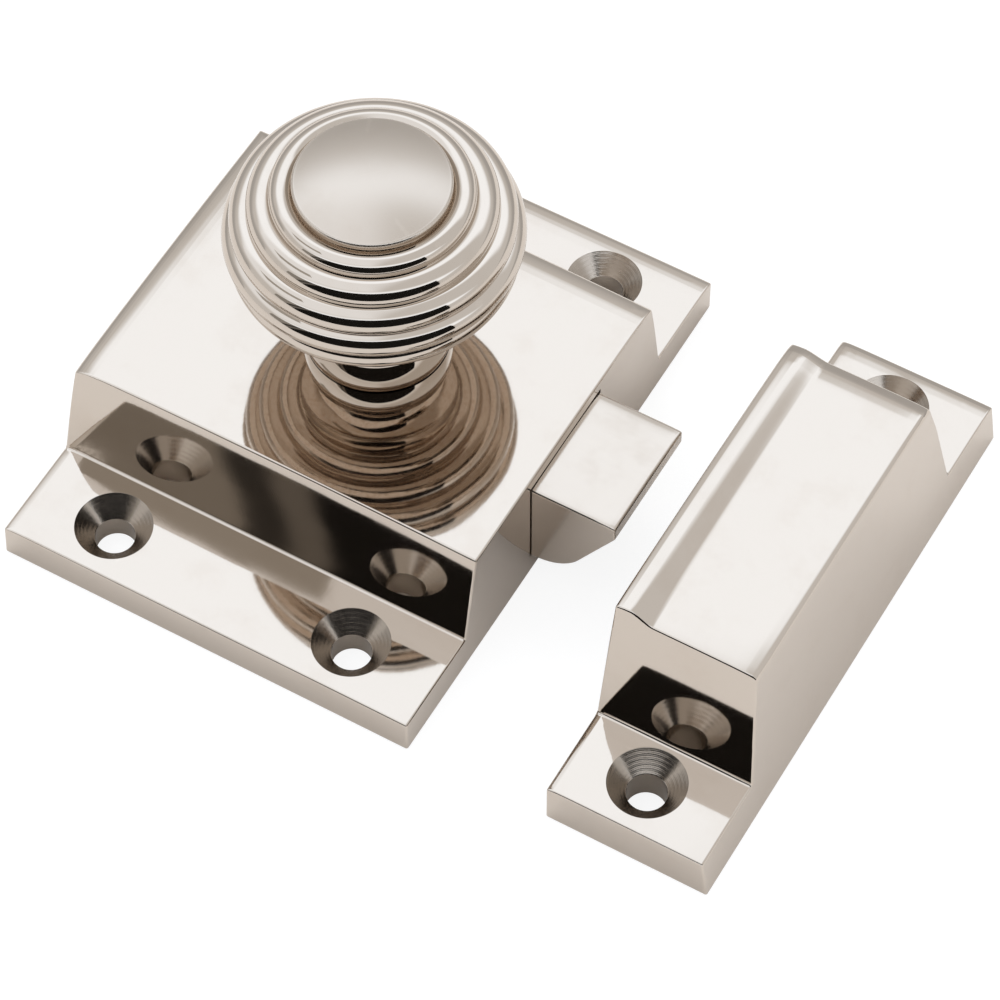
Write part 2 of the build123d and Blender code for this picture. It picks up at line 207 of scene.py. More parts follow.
@dataclass(frozen=True)
class MetalFinish:
    """A metal with its polish, its fine scratches and its worn edges, and where set, brown painted shade
    on its downward faces.

    The colour is the metal's own reflectance. Distances of the bump are in metres.
    """

    name: str
    colour: Colour
    tarnish: Colour
    roughness: float
    roughness_spread: float
    grain: Grain
    grain_scale: float
    grain_depth: float
    ripple_scale: float
    ripple_depth: float
    grain_axis: Point3 = (1.0, 1.0, 1.0)
    centre: Point3 = (0.0, 0.0, 0.0)
    # Share of brown painted as shade on downward faces; 0 leaves it out.
    underside_shade: float = 0.0
    haze: float = 0.0
    haze_from: float = 1.0

    def material(self) -> bpy.types.Material:
        """Build the material, or find it if it is there already.

        Returns:
            The Blender material.
        """
        found = bpy.data.materials.get(self.name)
        if found is not None:
            return found
        made = bpy.data.materials.new(self.name)
        made.use_nodes = True
        graph = NodeGraph(made.node_tree)
        place = graph.add("ShaderNodeTexCoord").outputs["Object"]
        marks = self._marks(graph, place)
        clouds = graph.add(
            "ShaderNodeTexNoise",
            {"Vector": place, "Scale": CLOUD_SCALE, "Detail": 4.0, "Roughness": 0.6},
        ).outputs["Fac"]
        edge = graph.smooth(graph.add("ShaderNodeNewGeometry").outputs["Pointiness"], *WORN_EDGES)
        dull = graph.smooth(clouds, *DULL_PATCHES)
        tint = graph.blend(graph.math("MULTIPLY", dull, 0.35), self.colour, self.tarnish)
        bright = tuple(min(1.0, channel * WORN_BRIGHTER) for channel in self.colour)
        tint = graph.blend(graph.math("MULTIPLY", edge, 0.5), tint, bright)
        # Painted shade: downward faces turn brown, standing in for the dim, warm look of their mirror
        # image.
        if self.underside_shade:
            tint = graph.blend(self._painted_underside_shade(graph, place), tint, UNDERSIDE_SHADE_BROWN)
        spread = graph.math("MULTIPLY", graph.math("SUBTRACT", marks, 0.5), self.roughness_spread)
        patchy = graph.math("MULTIPLY", dull, self.roughness_spread * 0.5)
        rough = graph.math("ADD", graph.math("ADD", spread, patchy), self.roughness, clamp=True)
        rough = graph.math("MAXIMUM", rough, SMOOTHEST)
        if self.haze:
            height = graph.add("ShaderNodeSeparateXYZ", {0: place}).outputs[2]
            top = graph.smooth(height, self.haze_from, self.haze_from + HAZE_RISE)
            rough = graph.math("ADD", rough, graph.math("MULTIPLY", top, self.haze))
        rough = graph.math("ADD", rough, graph.math("MULTIPLY", edge, 0.03))
        shader = graph.add(
            "ShaderNodeBsdfPrincipled",
            {
                "Base Color": tint,
                "Metallic": 1.0,
                "Roughness": rough,
                "Normal": self._relief(graph, place, marks),
            },
        )
        graph.add("ShaderNodeOutputMaterial", {"Surface": shader.outputs[0]})
        return made

    def _painted_underside_shade(self, graph: NodeGraph, place: bpy.types.NodeSocket) -> bpy.types.NodeSocket:
        """Find the downward faces that get brown painted shade, which shows in their mirror image.

        Args:
            graph: The material's tree.
            place: The surface's place.

        Returns:
            The share of brown painted shade.
        """
        facing = graph.add("ShaderNodeTexCoord").outputs["Normal"]
        rise = graph.add("ShaderNodeSeparateXYZ", {0: facing}).outputs[2]
        under = graph.smooth(rise, 0.05, -0.6)
        specks = graph.add(
            "ShaderNodeTexNoise",
            {"Vector": place, "Scale": 2400.0, "Detail": 6.0, "Roughness": 0.8},
        ).outputs["Fac"]
        share = graph.math("ADD", 0.62, graph.math("MULTIPLY", graph.smooth(specks, 0.45, 0.62), 0.38))
        return graph.math("MULTIPLY", under, graph.math("MULTIPLY", share, self.underside_shade), clamp=True)

    def _marks(self, graph: NodeGraph, place: bpy.types.NodeSocket) -> bpy.types.NodeSocket:
        """Build the fine marks that the finishing tool left, from 0 to 1.

        Args:
            graph: The material's tree.
            place: The surface's place.

        Returns:
            The marks' socket.
        """
        if self.grain is Grain.TURNED:
            moved = graph.vector("SUBTRACT", place, self.centre).outputs[0]
            flat = graph.vector("MULTIPLY", moved, (1.0, 1.0, 0.0)).outputs[0]
            reach = graph.vector("LENGTH", flat).outputs["Value"]
            height = graph.add("ShaderNodeSeparateXYZ", {0: moved}).outputs[2]
            along = graph.math("ADD", reach, graph.math("MULTIPLY", height, 0.7))
            lined = graph.add("ShaderNodeCombineXYZ", {0: along, 1: 0.0, 2: 0.0}).outputs[0]
            return graph.add(
                "ShaderNodeTexNoise",
                {"Vector": lined, "Scale": self.grain_scale, "Detail": 3.0, "Roughness": 0.7},
            ).outputs["Fac"]
        stretched = graph.vector("MULTIPLY", place, self.grain_axis).outputs[0]
        return graph.add(
            "ShaderNodeTexNoise",
            {
                "Vector": stretched,
                "Scale": self.grain_scale,
                "Detail": 5.0 if self.grain is Grain.CAST else 3.0,
                "Roughness": 0.65,
            },
        ).outputs["Fac"]

    def _relief(
        self, graph: NodeGraph, place: bpy.types.NodeSocket, marks: bpy.types.NodeSocket
    ) -> bpy.types.NodeSocket:
        """Build the surface's relief: the polisher's long ripple under the fine marks.

        Args:
            graph: The material's tree.
            place: The surface's place.
            marks: The fine marks.

        Returns:
            The normal's socket.
        """
        ripple = graph.add(
            "ShaderNodeTexNoise",
            {"Vector": place, "Scale": self.ripple_scale, "Detail": 1.5, "Roughness": 0.4},
        ).outputs["Fac"]
        first = graph.add(
            "ShaderNodeBump", {"Height": ripple, "Distance": self.ripple_depth, "Strength": 1.0}
        ).outputs[0]
        return graph.add(
            "ShaderNodeBump",
            {"Height": marks, "Distance": self.grain_depth, "Strength": 1.0, "Normal": first},
        ).outputs[0]


NICKEL: Colour = (0.620, 0.555, 0.490)
NICKEL_TARNISH: Colour = (0.570, 0.495, 0.425)
# Brown painted as shade on downward faces.
UNDERSIDE_SHADE_BROWN: Colour = (0.400, 0.285, 0.195)

POLISHED_NICKEL = MetalFinish(
    "polished_nickel", NICKEL, NICKEL_TARNISH, 0.045, 0.030, Grain.BUFFED,
    grain_scale=2600.0, grain_depth=0.6e-6, ripple_scale=150.0, ripple_depth=12e-6,
    grain_axis=(1.0, 0.14, 0.6),
)
# The knob's downward faces get brown painted shade.
KNOB_NICKEL = MetalFinish(
    "knob_nickel", NICKEL, NICKEL_TARNISH, 0.045, 0.030, Grain.TURNED,
    grain_scale=1900.0, grain_depth=0.5e-6, ripple_scale=150.0, ripple_depth=8e-6,
    centre=(0.0, 0.0009, 0.0), underside_shade=0.85, haze=0.24, haze_from=0.0409,
)
SATIN_NICKEL = MetalFinish(
    "satin_nickel", NICKEL, NICKEL_TARNISH, 0.16, 0.10, Grain.BRUSHED,
    grain_scale=5200.0, grain_depth=1.4e-6, ripple_scale=240.0, ripple_depth=8e-6,
    grain_axis=(0.06, 1.0, 1.0),
)
# The countersinks' cones: a rough machined finish, its colour also darkened as painted shade for the
# recess.
SHADED_MACHINED_NICKEL = MetalFinish(
    "machined_nickel_shaded", (0.44, 0.385, 0.33), (0.30, 0.25, 0.21), 0.20, 0.14, Grain.CAST,
    grain_scale=1800.0, grain_depth=2.0e-6, ripple_scale=500.0, ripple_depth=6e-6,
)
CAST_INSIDE = MetalFinish(
    "cast_inside", (0.52, 0.44, 0.36), (0.36, 0.29, 0.23), 0.46, 0.20, Grain.CAST,
    grain_scale=900.0, grain_depth=20e-6, ripple_scale=220.0, ripple_depth=20e-6,
)
ROLLED_BRASS = MetalFinish(
    "rolled_brass", (0.80, 0.60, 0.30), (0.55, 0.38, 0.18), 0.30, 0.16, Grain.BRUSHED,
    grain_scale=3600.0, grain_depth=3.0e-6, ripple_scale=120.0, ripple_depth=10e-6,
    grain_axis=(1.0, 0.05, 1.0),
)
TURNED_BRASS = MetalFinish(
    "turned_brass", (0.80, 0.60, 0.30), (0.58, 0.41, 0.20), 0.24, 0.14, Grain.TURNED,
    grain_scale=2200.0, grain_depth=3.0e-6, ripple_scale=200.0, ripple_depth=4e-6,
    centre=(0.0, 0.0009, 0.0),
)
TURNED_STEEL = MetalFinish(
    "turned_steel", (0.56, 0.55, 0.53), (0.40, 0.38, 0.36), 0.26, 0.14, Grain.TURNED,
    grain_scale=2600.0, grain_depth=2.0e-6, ripple_scale=200.0, ripple_depth=4e-6,
    centre=(0.0, 0.0009, 0.0),
)
ZINC_SCREW = MetalFinish(
    "zinc_screw", (0.62, 0.62, 0.60), (0.45, 0.45, 0.44), 0.28, 0.14, Grain.CAST,
    grain_scale=1400.0, grain_depth=3.0e-6, ripple_scale=400.0, ripple_depth=4e-6,
)
SPRING_WIRE = MetalFinish(
    "spring_wire", (0.52, 0.52, 0.52), (0.33, 0.32, 0.32), 0.22, 0.12, Grain.BRUSHED,
    grain_scale=3000.0, grain_depth=1.5e-6, ripple_scale=300.0, ripple_depth=3e-6,
    grain_axis=(1.0, 1.0, 0.2),
)


# Mesh work


def mesh_object(
    name: str,
    points: Sequence[Sequence[float]],
    faces: Iterable[Sequence[int]],
    finish: MetalFinish,
) -> bpy.types.Object:
    """Make an object in millimetres from points and faces.

    Args:
        name: The object's name.
        points: Its points.
        faces: Point numbers of each face.
        finish: The metal finish of all its faces.

    Returns:
        The new object, linked to the scene.
    """
    mesh = bpy.data.meshes.new(name)
    mesh.from_pydata([tuple(p) for p in points], [], [tuple(f) for f in faces])
    mesh.materials.append(finish.material())
    body = bmesh.new()
    body.from_mesh(mesh)
    bmesh.ops.recalc_face_normals(body, faces=body.faces)
    body.to_mesh(mesh)
    body.free()
    made = bpy.data.objects.new(name, mesh)
    bpy.context.scene.collection.objects.link(made)
    return made


def prism(
    name: str,
    outline: Sequence[Point2],
    place: Callable[[float, float, float], Point3],
    low: float,
    high: float,
    finish: MetalFinish,
) -> bpy.types.Object:
    """Make a straight prism.

    Args:
        name: The object's name.
        outline: The outline's points.
        place: Gives a point in space from an outline point and a depth.
        low: The depth of one end.
        high: The depth of the other end.
        finish: The metal finish.

    Returns:
        The new object.
    """
    count = len(outline)
    points = [place(u, v, depth) for depth in (low, high) for u, v in outline]
    faces = [tuple(range(count)), tuple(range(count, 2 * count))]
    faces += [(i, (i + 1) % count, count + (i + 1) % count, count + i) for i in range(count)]
    return mesh_object(name, points, faces, finish)


def upright(u: float, v: float, depth: float) -> Point3:
    """Place an outline drawn from above."""
    return u, v, depth


def lengthways(u: float, v: float, depth: float) -> Point3:
    """Place an outline of Y and Z along X."""
    return depth, u, v


def rounded_box(
    width: float, length: float, corner: float, centre: Point2, steps: int = 10
) -> list[Point2]:
    """Draw a rectangle with round corners.

    Args:
        width: Its size along the first axis.
        length: Its size along the second axis.
        corner: The corners' radius.
        centre: Its middle.
        steps: Steps in each corner.

    Returns:
        The outline's points.
    """
    points = []
    for quarter in range(4):
        middle = radians(90 * quarter + 45)
        side_x = 1 if cos(middle) > 0 else -1
        side_y = 1 if sin(middle) > 0 else -1
        origin_x = centre[0] + side_x * (width / 2 - corner)
        origin_y = centre[1] + side_y * (length / 2 - corner)
        for step in range(steps + 1):
            turn = radians(90 * quarter + 90 * step / steps)
            points.append((origin_x + corner * cos(turn), origin_y + corner * sin(turn)))
    return points


def circle(radius: float, centre: Point2 = (0.0, 0.0), steps: int = 96) -> list[Point2]:
    """Draw a circle.

    Args:
        radius: Its radius.
        centre: Its middle.
        steps: The number of points.

    Returns:
        The outline's points.
    """
    turns = [2 * pi * step / steps for step in range(steps)]
    return [(centre[0] + radius * cos(t), centre[1] + radius * sin(t)) for t in turns]


def turned_solid(
    name: str,
    profile: Sequence[Point2],
    centre: Point2,
    finish: MetalFinish,
    steps: int = 96,
) -> bpy.types.Object:
    """Turn a closed profile round an upright axis.

    Args:
        name: The object's name.
        profile: Radius and height from the bottom's middle to the top's middle, ends on the axis.
        centre: The axis' place.
        finish: The metal finish.
        steps: Steps round the axis.

    Returns:
        The new object.
    """
    points: list[Point3] = [(centre[0], centre[1], profile[0][1])]
    for radius, height in profile[1:-1]:
        points += [(x, y, height) for x, y in circle(radius, centre, steps)]
    points.append((centre[0], centre[1], profile[-1][1]))
    rings = len(profile) - 2
    faces: list[tuple[int, ...]] = []
    for step in range(steps):
        after = (step + 1) % steps
        faces.append((0, 1 + after, 1 + step))
        for ring in range(rings - 1):
            low, high = 1 + ring * steps, 1 + (ring + 1) * steps
            faces.append((low + step, low + after, high + after, high + step))
        last = 1 + (rings - 1) * steps
        faces.append((last + step, last + after, len(points) - 1))
    return mesh_object(name, points, faces, finish)


def settle(made: bpy.types.Object) -> None:
    """Turn an object's modifiers into plain mesh.

    Args:
        made: The object that changes.
    """
    graph = bpy.context.evaluated_depsgraph_get()
    graph.update()
    mesh = bpy.data.meshes.new_from_object(made.evaluated_get(graph), depsgraph=graph)
    made.modifiers.clear()
    old, made.data = made.data, mesh
    mesh.name = made.name
    if old.users == 0:
        bpy.data.meshes.remove(old)


def carve(made: bpy.types.Object, tools: Iterable[bpy.types.Object], adding: bool = False) -> None:
    """Cut tools out of an object, or add them to it, and remove the tools.

    Args:
        made: The object that changes.
        tools: The shapes to cut out or to add.
        adding: Whether the tools are added.
    """
    for tool in tools:
        change = made.modifiers.new("carve", "BOOLEAN")
        change.operation = "UNION" if adding else "DIFFERENCE"
        change.solver = "EXACT"
        change.object = tool
        change.material_mode = "TRANSFER"
        settle(made)
        bpy.data.objects.remove(tool)


def round_edges(
    made: bpy.types.Object,
    width: float,
    share: Callable[[bmesh.types.BMEdge], float],
    steps: int,
) -> None:
    """Round edges by shares of one width.

    Args:
        made: The object that changes.
        width: The full width of the rounding.
        share: Gives each edge's share of that width, or 0 for an edge that stays.
        steps: Steps across the rounding.
    """
    body = bmesh.new()
    body.from_mesh(made.data)
    layer = body.edges.layers.float.get("bevel_weight_edge")
    if layer is None:
        layer = body.edges.layers.float.new("bevel_weight_edge")
    for edge in body.edges:
        edge[layer] = share(edge)
    body.to_mesh(made.data)
    body.free()
    change = made.modifiers.new("round", "BEVEL")
    change.limit_method = "WEIGHT"
    change.width = width
    change.segments = steps
    change.profile = 0.5
    change.use_clamp_overlap = False
    change.miter_outer = "MITER_SHARP"
    settle(made)
    stale = made.data.attributes.get("bevel_weight_edge")
    if stale is not None:
        made.data.attributes.remove(stale)


def slice_up(made: bpy.types.Object, cuts: Iterable[tuple[int, float]]) -> None:
    """Cut an object's faces along level planes, so that a crown can bend them.

    Args:
        made: The object that changes.
        cuts: Axis number and place of each plane.
    """
    body = bmesh.new()
    body.from_mesh(made.data)
    for axis, place in cuts:
        origin = [0.0, 0.0, 0.0]
        normal = [0.0, 0.0, 0.0]
        origin[axis], normal[axis] = place, 1.0
        bmesh.ops.bisect_plane(
            body,
            geom=[*body.verts, *body.edges, *body.faces],
            dist=1e-5,
            plane_co=origin,
            plane_no=normal,
        )
    body.to_mesh(made.data)
    body.free()


def move_points(made: bpy.types.Object, place: Callable[[Vector], Point3]) -> None:
    """Move every point of an object.

    Args:
        made: The object that changes.
        place: Gives a point's new place from its old one.
    """
    for vertex in made.data.vertices:
        vertex.co = place(vertex.co.copy())
    made.data.update()


def smooth_shade(made: bpy.types.Object, crease: float = 32.0) -> None:
    """Shade an object smoothly between its creases, with flat faces kept flat.

    Args:
        made: The object that changes.
        crease: The angle in degrees from which an edge stays sharp.
    """
    made.data.polygons.foreach_set("use_smooth", [True] * len(made.data.polygons))
    made.data.set_sharp_from_angle(angle=radians(crease))
    change = made.modifiers.new("normals", "WEIGHTED_NORMAL")
    change.mode = "FACE_AREA_WITH_ANGLE"
    change.weight = 60
    change.keep_sharp = True
    settle(made)


def roll(distance: float, reach: float, depth: float) -> float:
    """Give how far a buffed surface rolls off near an edge.

    Args:
        distance: How far the point lies from the edge.
        reach: How far in the roll reaches.
        depth: How deep it is at the edge.

    Returns:
        The depth at the point.
    """
    return depth * exp(-max(0.0, distance) / reach)


def to_metres(made: bpy.types.Object) -> None:
    """Turn a mesh in millimetres to metres."""
    made.data.transform(Matrix.Scale(MM, 4))
    made.data.update()


def close_up(made: bpy.types.Object, distance: float = 1e-4) -> None:
    """Merge doubled points and turn all faces outwards.

    Args:
        made: The object that changes.
        distance: Points closer than this become one.
    """
    body = bmesh.new()
    body.from_mesh(made.data)
    bmesh.ops.remove_doubles(body, verts=body.verts, dist=distance)
    bmesh.ops.dissolve_degenerate(body, edges=body.edges, dist=distance)
    bmesh.ops.recalc_face_normals(body, faces=body.faces)
    body.to_mesh(made.data)
    body.free()


def hand_over(made: bpy.types.Object, body: str, slot: str, *nodes: str) -> None:
    """Give a finished piece to its CAD body.

    Args:
        made: The piece.
        body: The CAD body that it rides on.
        slot: The record's material slot. Not used.
        nodes: The CAD nodes that it stands for.
    """
    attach(made, body)
    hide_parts(*nodes)
    LOG.info("%s: %d faces, on %s", made.name, len(made.data.polygons), body)


# Geometry nodes


class GeometryRecipe:
    """A Geometry Nodes tree with named inputs, run once on an object."""

    def __init__(self, name: str) -> None:
        """Start an empty tree with one geometry input and one geometry output.

        Args:
            name: The tree's name.
        """
        self.tree = bpy.data.node_groups.new(name, "GeometryNodeTree")
        self.graph = NodeGraph(self.tree)
        face = self.tree.interface
        face.new_socket("Geometry", in_out="INPUT", socket_type="NodeSocketGeometry")
        face.new_socket("Geometry", in_out="OUTPUT", socket_type="NodeSocketGeometry")
        self.start = self.graph.add("NodeGroupInput")
        self.values: dict[str, object] = {}

    def size(self, name: str, value: float | int | Point3) -> bpy.types.NodeSocket:
        """Add a named input.

        Args:
            name: The input's name.
            value: The value that the piece is made with.

        Returns:
            The socket inside the tree.
        """
        kind = "NodeSocketFloat"
        if isinstance(value, int):
            kind = "NodeSocketInt"
        elif isinstance(value, tuple):
            kind = "NodeSocketVector"
        made = self.tree.interface.new_socket(name, in_out="INPUT", socket_type=kind)
        self.values[made.identifier] = value
        return self.start.outputs[name]

    def finish(self, geometry: bpy.types.NodeSocket, finish: MetalFinish) -> None:
        """End the tree in real geometry with its material.

        Args:
            geometry: What the tree made.
            finish: The metal finish.
        """
        real = self.graph.add("GeometryNodeRealizeInstances", {0: geometry}).outputs[0]
        dressed = self.graph.add("GeometryNodeSetMaterial", {0: real})
        dressed.inputs["Material"].default_value = finish.material()
        self.graph.add("NodeGroupOutput", {0: dressed.outputs[0]})

    def run(self, made: bpy.types.Object, finish: MetalFinish) -> None:
        """Run the tree on an object and leave plain mesh.

        Args:
            made: The object that changes.
            finish: The metal finish that its faces get.
        """
        change = made.modifiers.new(self.tree.name, "NODES")
        change.node_group = self.tree
        for identifier, value in self.values.items():
            change[identifier] = value
        settle(made)
        made.data.materials.clear()
        made.data.materials.append(finish.material())


# Pieces


@dataclass
class Countersink:
    """A countersunk screw hole through a flange, with the cutter's fine lines on its cone."""

    hole: float = 4.2
    head: float = 8.1
    flange: float = 4.6
    rim: float = 0.12
    lines: int = 15
    line_depth: float = 0.005
    second_strength: float = 0.8
    second_pace: float = 0.37
    second_phase: float = 1.3

    def cutter(self, name: str, centre: Point2) -> bpy.types.Object:
        """Make the shape that cuts the hole.

        Args:
            name: The cutter's name.
            centre: The hole's middle.

        Returns:
            The cutter.
        """
        top = self.flange
        deep = (self.head - self.hole) / 2
        profile: list[Point2] = [(0.0, -1.0), (self.hole / 2, -1.0)]
        rungs = self.lines * 4
        for rung in range(rungs + 1):
            share = rung / rungs
            turn = 2 * pi * self.lines * share
            wave = cos(turn) + self.second_strength * cos(self.second_pace * turn + self.second_phase)
            bite = self.line_depth * (0.9 - 0.5 * wave)
            radius = self.hole / 2 + deep * share
            height = top - deep + deep * share
            profile.append((radius + bite * 0.7, height - bite * 0.7))
        for step in range(1, 5):
            turn = radians(45 * (1 - step / 4))
            profile.append(
                (
                    self.head / 2 + self.rim * (1 - sin(turn) / sin(radians(45)) * 0.5),
                    top + self.rim * 0.25 * step / 4,
                )
            )
        profile.append((self.head / 2 + self.rim * 1.4, top + 0.6))
        profile.append((0.0, top + 0.6))
        # The cone's dark colour is partly painted shade for the recess.
        return turned_solid(name, profile, centre, SHADED_MACHINED_NICKEL)


@dataclass
class CatchCase:
    """The case: a block on two flanges, hollow at the back, that carries knob and bolt."""

    length: float = 63.5
    width: float = 48.0
    height: float = 16.6
    flange: float = 4.6
    block_foot: float = 40.2
    block_top: float = 35.7
    side_lean: float = 3.1
    left: float = -25.6
    far_reach: float = 0.25
    crisp_edge: float = 0.24
    crease_edge: float = 0.30
    wall_left: float = 3.7
    wall_right: float = 3.0
    roof: float = 1.8
    cavity_length: float = 28.6
    cavity_corner: float = 1.5
    axis_y: float = 0.9
    bore: float = 3.05
    boss: float = 5.4
    boss_length: float = 4.0
    stop_radius: float = 1.5
    stop_place: Point2 = (5.45, 9.9)
    stop_bottom: float = 3.1
    slot_width: float = 14.4
    slot_bottom: float = 2.65
    seat_radius: float = 3.8
    seat_height: float = 5.05
    seat_depth: float = 0.8
    ledge: float = 1.4
    cover_thickness: float = 1.2
    cover_length: float = 38.4
    cover_corner: float = 2.0
    screw_hole: float = 1.27
    screw_depth: float = 5.0
    screw_spacing: Point2 = (30.0, 33.0)
    hole_spacing: Point2 = (28.2, 52.0)
    crown_across: float = 0.46
    crown_centre: float = -4.0
    crown_along: float = 0.22
    crown_flange: float = 0.12
    crown_side: float = 0.05
    top_roll: Point2 = (0.95, 0.56)
    corner_roll: Point2 = (2.6, 0.26)
    flange_left_roll: Point2 = (0.665, 0.224)
    flange_far_roll: Point2 = (0.76, 0.336)
    slice_step: float = 1.2

    @property
    def right(self) -> float:
        """Give the place of the case's right side."""
        return self.left + self.width

    @property
    def middle(self) -> float:
        """Give the case's middle along X."""
        return self.left + self.width / 2

    def blank(self) -> bpy.types.Object:
        """Make the solid block on its flanges, with rounded edges.

        Returns:
            The blank.
        """
        outline = [
            (-self.length / 2, 0.0), (self.length / 2, 0.0),
            (self.length / 2, self.flange), (self.block_foot / 2, self.flange),
            (self.block_top / 2 + self.far_reach, self.height), (-self.block_top / 2, self.height),
            (-self.block_foot / 2, self.flange), (-self.length / 2, self.flange),
        ]
        made = prism("case_body", outline, lengthways, self.left, self.right, POLISHED_NICKEL)
        lean = tan(radians(self.side_lean))

        def lean_in(point: Vector) -> Point3:
            """Lean the left side in.

            Args:
                point: A point of the block.

            Returns:
                Its new place.
            """
            if point.x < self.middle:
                return point.x + point.z * lean, point.y, point.z
            return tuple(point)

        move_points(made, lean_in)
        round_edges(made, self.crease_edge, self._edge_share, 4)
        return made

    def _edge_share(self, edge: bmesh.types.BMEdge) -> float:
        """Give an edge's share of the crease's rounding.

        Args:
            edge: An edge of the blank.

        Returns:
            The share, from 0 to 1.
        """
        first, second = (vertex.co for vertex in edge.verts)
        middle = (first + second) / 2
        at_crease = abs(abs(middle.y) - self.block_foot / 2) < 0.01
        if at_crease and abs(middle.z - self.flange) < 0.01:
            return 1.0
        return self.crisp_edge / self.crease_edge

    def hollow(self, made: bpy.types.Object) -> None:
        """Cut the hollow, its bearing, the bolt's slot, the spring's seat and the cover's ledge.

        Args:
            made: The blank.
        """
        cavity_left = self.left + self.wall_left
        cavity_right = self.right - self.wall_right
        middle = (cavity_left + cavity_right) / 2
        roof = self.height - self.roof
        width = cavity_right - cavity_left
        hollow = prism(
            "hollow",
            rounded_box(width, self.cavity_length, self.cavity_corner, (middle, 0.0)),
            upright, -1.0, roof, CAST_INSIDE,
        )
        boss = prism(
            "boss", circle(self.boss, (0.0, self.axis_y)),
            upright, roof - self.boss_length, roof + 1, CAST_INSIDE,
        )
        stop = prism(
            "stop", circle(self.stop_radius, self.stop_place, 48),
            upright, self.stop_bottom, roof + 1, CAST_INSIDE,
        )
        carve(hollow, [boss, stop])
        ledge = prism(
            "ledge",
            rounded_box(width + 2 * self.ledge, self.cover_length, self.cover_corner, (middle, 0.0)),
            upright, -1.0, self.cover_thickness, CAST_INSIDE,
        )
        half = self.slot_width / 2
        slot = prism(
            "slot",
            [(-half, self.slot_bottom), (half, self.slot_bottom), (half, roof), (-half, roof)],
            lengthways, cavity_right - 1.0, self.right + 1.0, CAST_INSIDE,
        )
        seat = prism(
            "seat", circle(self.seat_radius, (0.0, self.seat_height), 64),
            lengthways, cavity_left - self.seat_depth, cavity_left + 1.0, CAST_INSIDE,
        )
        bore = prism(
            "bore", circle(self.bore, (0.0, self.axis_y)),
            upright, roof - self.boss_length - 1, self.height + 1, CAST_INSIDE,
        )
        half_x, half_y = (spacing / 2 for spacing in self.screw_spacing)
        holes = [
            prism(
                "screw_hole", circle(self.screw_hole, (middle + side * half_x, end * half_y), 32),
                upright, -1.0, self.cover_thickness + self.screw_depth, CAST_INSIDE,
            )
            for side in (-1, 1)
            for end in (-1, 1)
        ]
        carve(made, [hollow, ledge, slot, seat, bore, *holes])

    def fixings(self, made: bpy.types.Object) -> None:
        """Cut the four countersunk fixing holes.

        Args:
            made: The case.
        """
        sink = Countersink(flange=self.flange)
        for side in (-1, 1):
            for end in (-1, 1):
                place = (
                    self.middle + side * self.hole_spacing[0] / 2,
                    end * self.hole_spacing[1] / 2,
                )
                carve(made, [sink.cutter("sink", place)])

    def crown(self, made: bpy.types.Object) -> None:
        """Give the flat faces the slight crown that buffing leaves.

        Args:
            made: The case.
        """
        steps_x = int(self.width / self.slice_step)
        steps_y = int(self.length / self.slice_step)
        lean = tan(radians(self.side_lean))
        top_left = self.left + self.height * lean
        far_top = self.block_top / 2 + self.far_reach
        cuts = [(0, self.left + self.width * (i + 0.5) / steps_x) for i in range(steps_x)]
        cuts += [(1, -self.length / 2 + self.length * (i + 0.5) / steps_y) for i in range(steps_y)]
        cuts += [(2, self.flange + (self.height - self.flange) * i / 6) for i in range(1, 6)]
        cuts += [(0, top_left + reach) for reach in FINE_CUTS]
        cuts += [(0, self.left + 0.3 + reach) for reach in FINE_CUTS]
        cuts += [(1, far_top - reach) for reach in FINE_CUTS]
        cuts += [(1, self.length / 2 - reach) for reach in FINE_CUTS]
        slice_up(made, cuts)
        inside = self.left + self.wall_left - 0.2
        half_hollow = self.cavity_length / 2 + 0.1

        def crowned(point: Vector) -> Point3:
            """Sink a point by the crown of the face that it lies on.

            Args:
                point: A point of the mesh.

            Returns:
                Its new place.
            """
            across = (point.x - self.crown_centre) / (self.right - self.crown_centre)
            along = min(1.0, abs(point.y) / (self.block_top / 2))
            rise = min(1.0, max(0.0, (point.z - self.flange) / (self.height - self.flange)))
            rise = rise**3
            if abs(point.y) < half_hollow and point.x > inside and point.z < self.height - self.roof + 0.1:
                rise = 0.0
            from_left = point.x - self.left - point.z * lean
            drop = self.crown_across * across**2 + self.crown_along * along**2
            drop += roll(min(from_left, far_top - point.y), *self.top_roll)
            corner = hypot(from_left, self.block_top / 2 + point.y)
            drop += roll(corner, *self.corner_roll)
            sink = drop * rise
            outer = (abs(point.y) - self.block_foot / 2) / ((self.length - self.block_foot) / 2)
            if outer > 0 and point.z > self.flange / 2:
                hump = self.crown_flange * (outer * outer + 0.5 * across**4)
                hump += roll(from_left, *self.flange_left_roll)
                if point.y > 0:
                    hump += roll(self.length / 2 - point.y, *self.flange_far_roll)
                sink += hump * (point.z - self.flange / 2) / (self.flange / 2)
            side = 0.0
            if point.x > self.right - 0.5:
                side = self.crown_side * (point.y / (self.length / 2)) ** 2
            return point.x - side, point.y, point.z - sink

        move_points(made, crowned)

    def build(self) -> bpy.types.Object:
        """Build the case and hand it over.

        Returns:
            The finished case.
        """
        made = self.blank()
        self.hollow(made)
        self.fixings(made)
        self.crown(made)
        smooth_shade(made)
        to_metres(made)
        hand_over(made, "case", "nickel", "case")
        return made


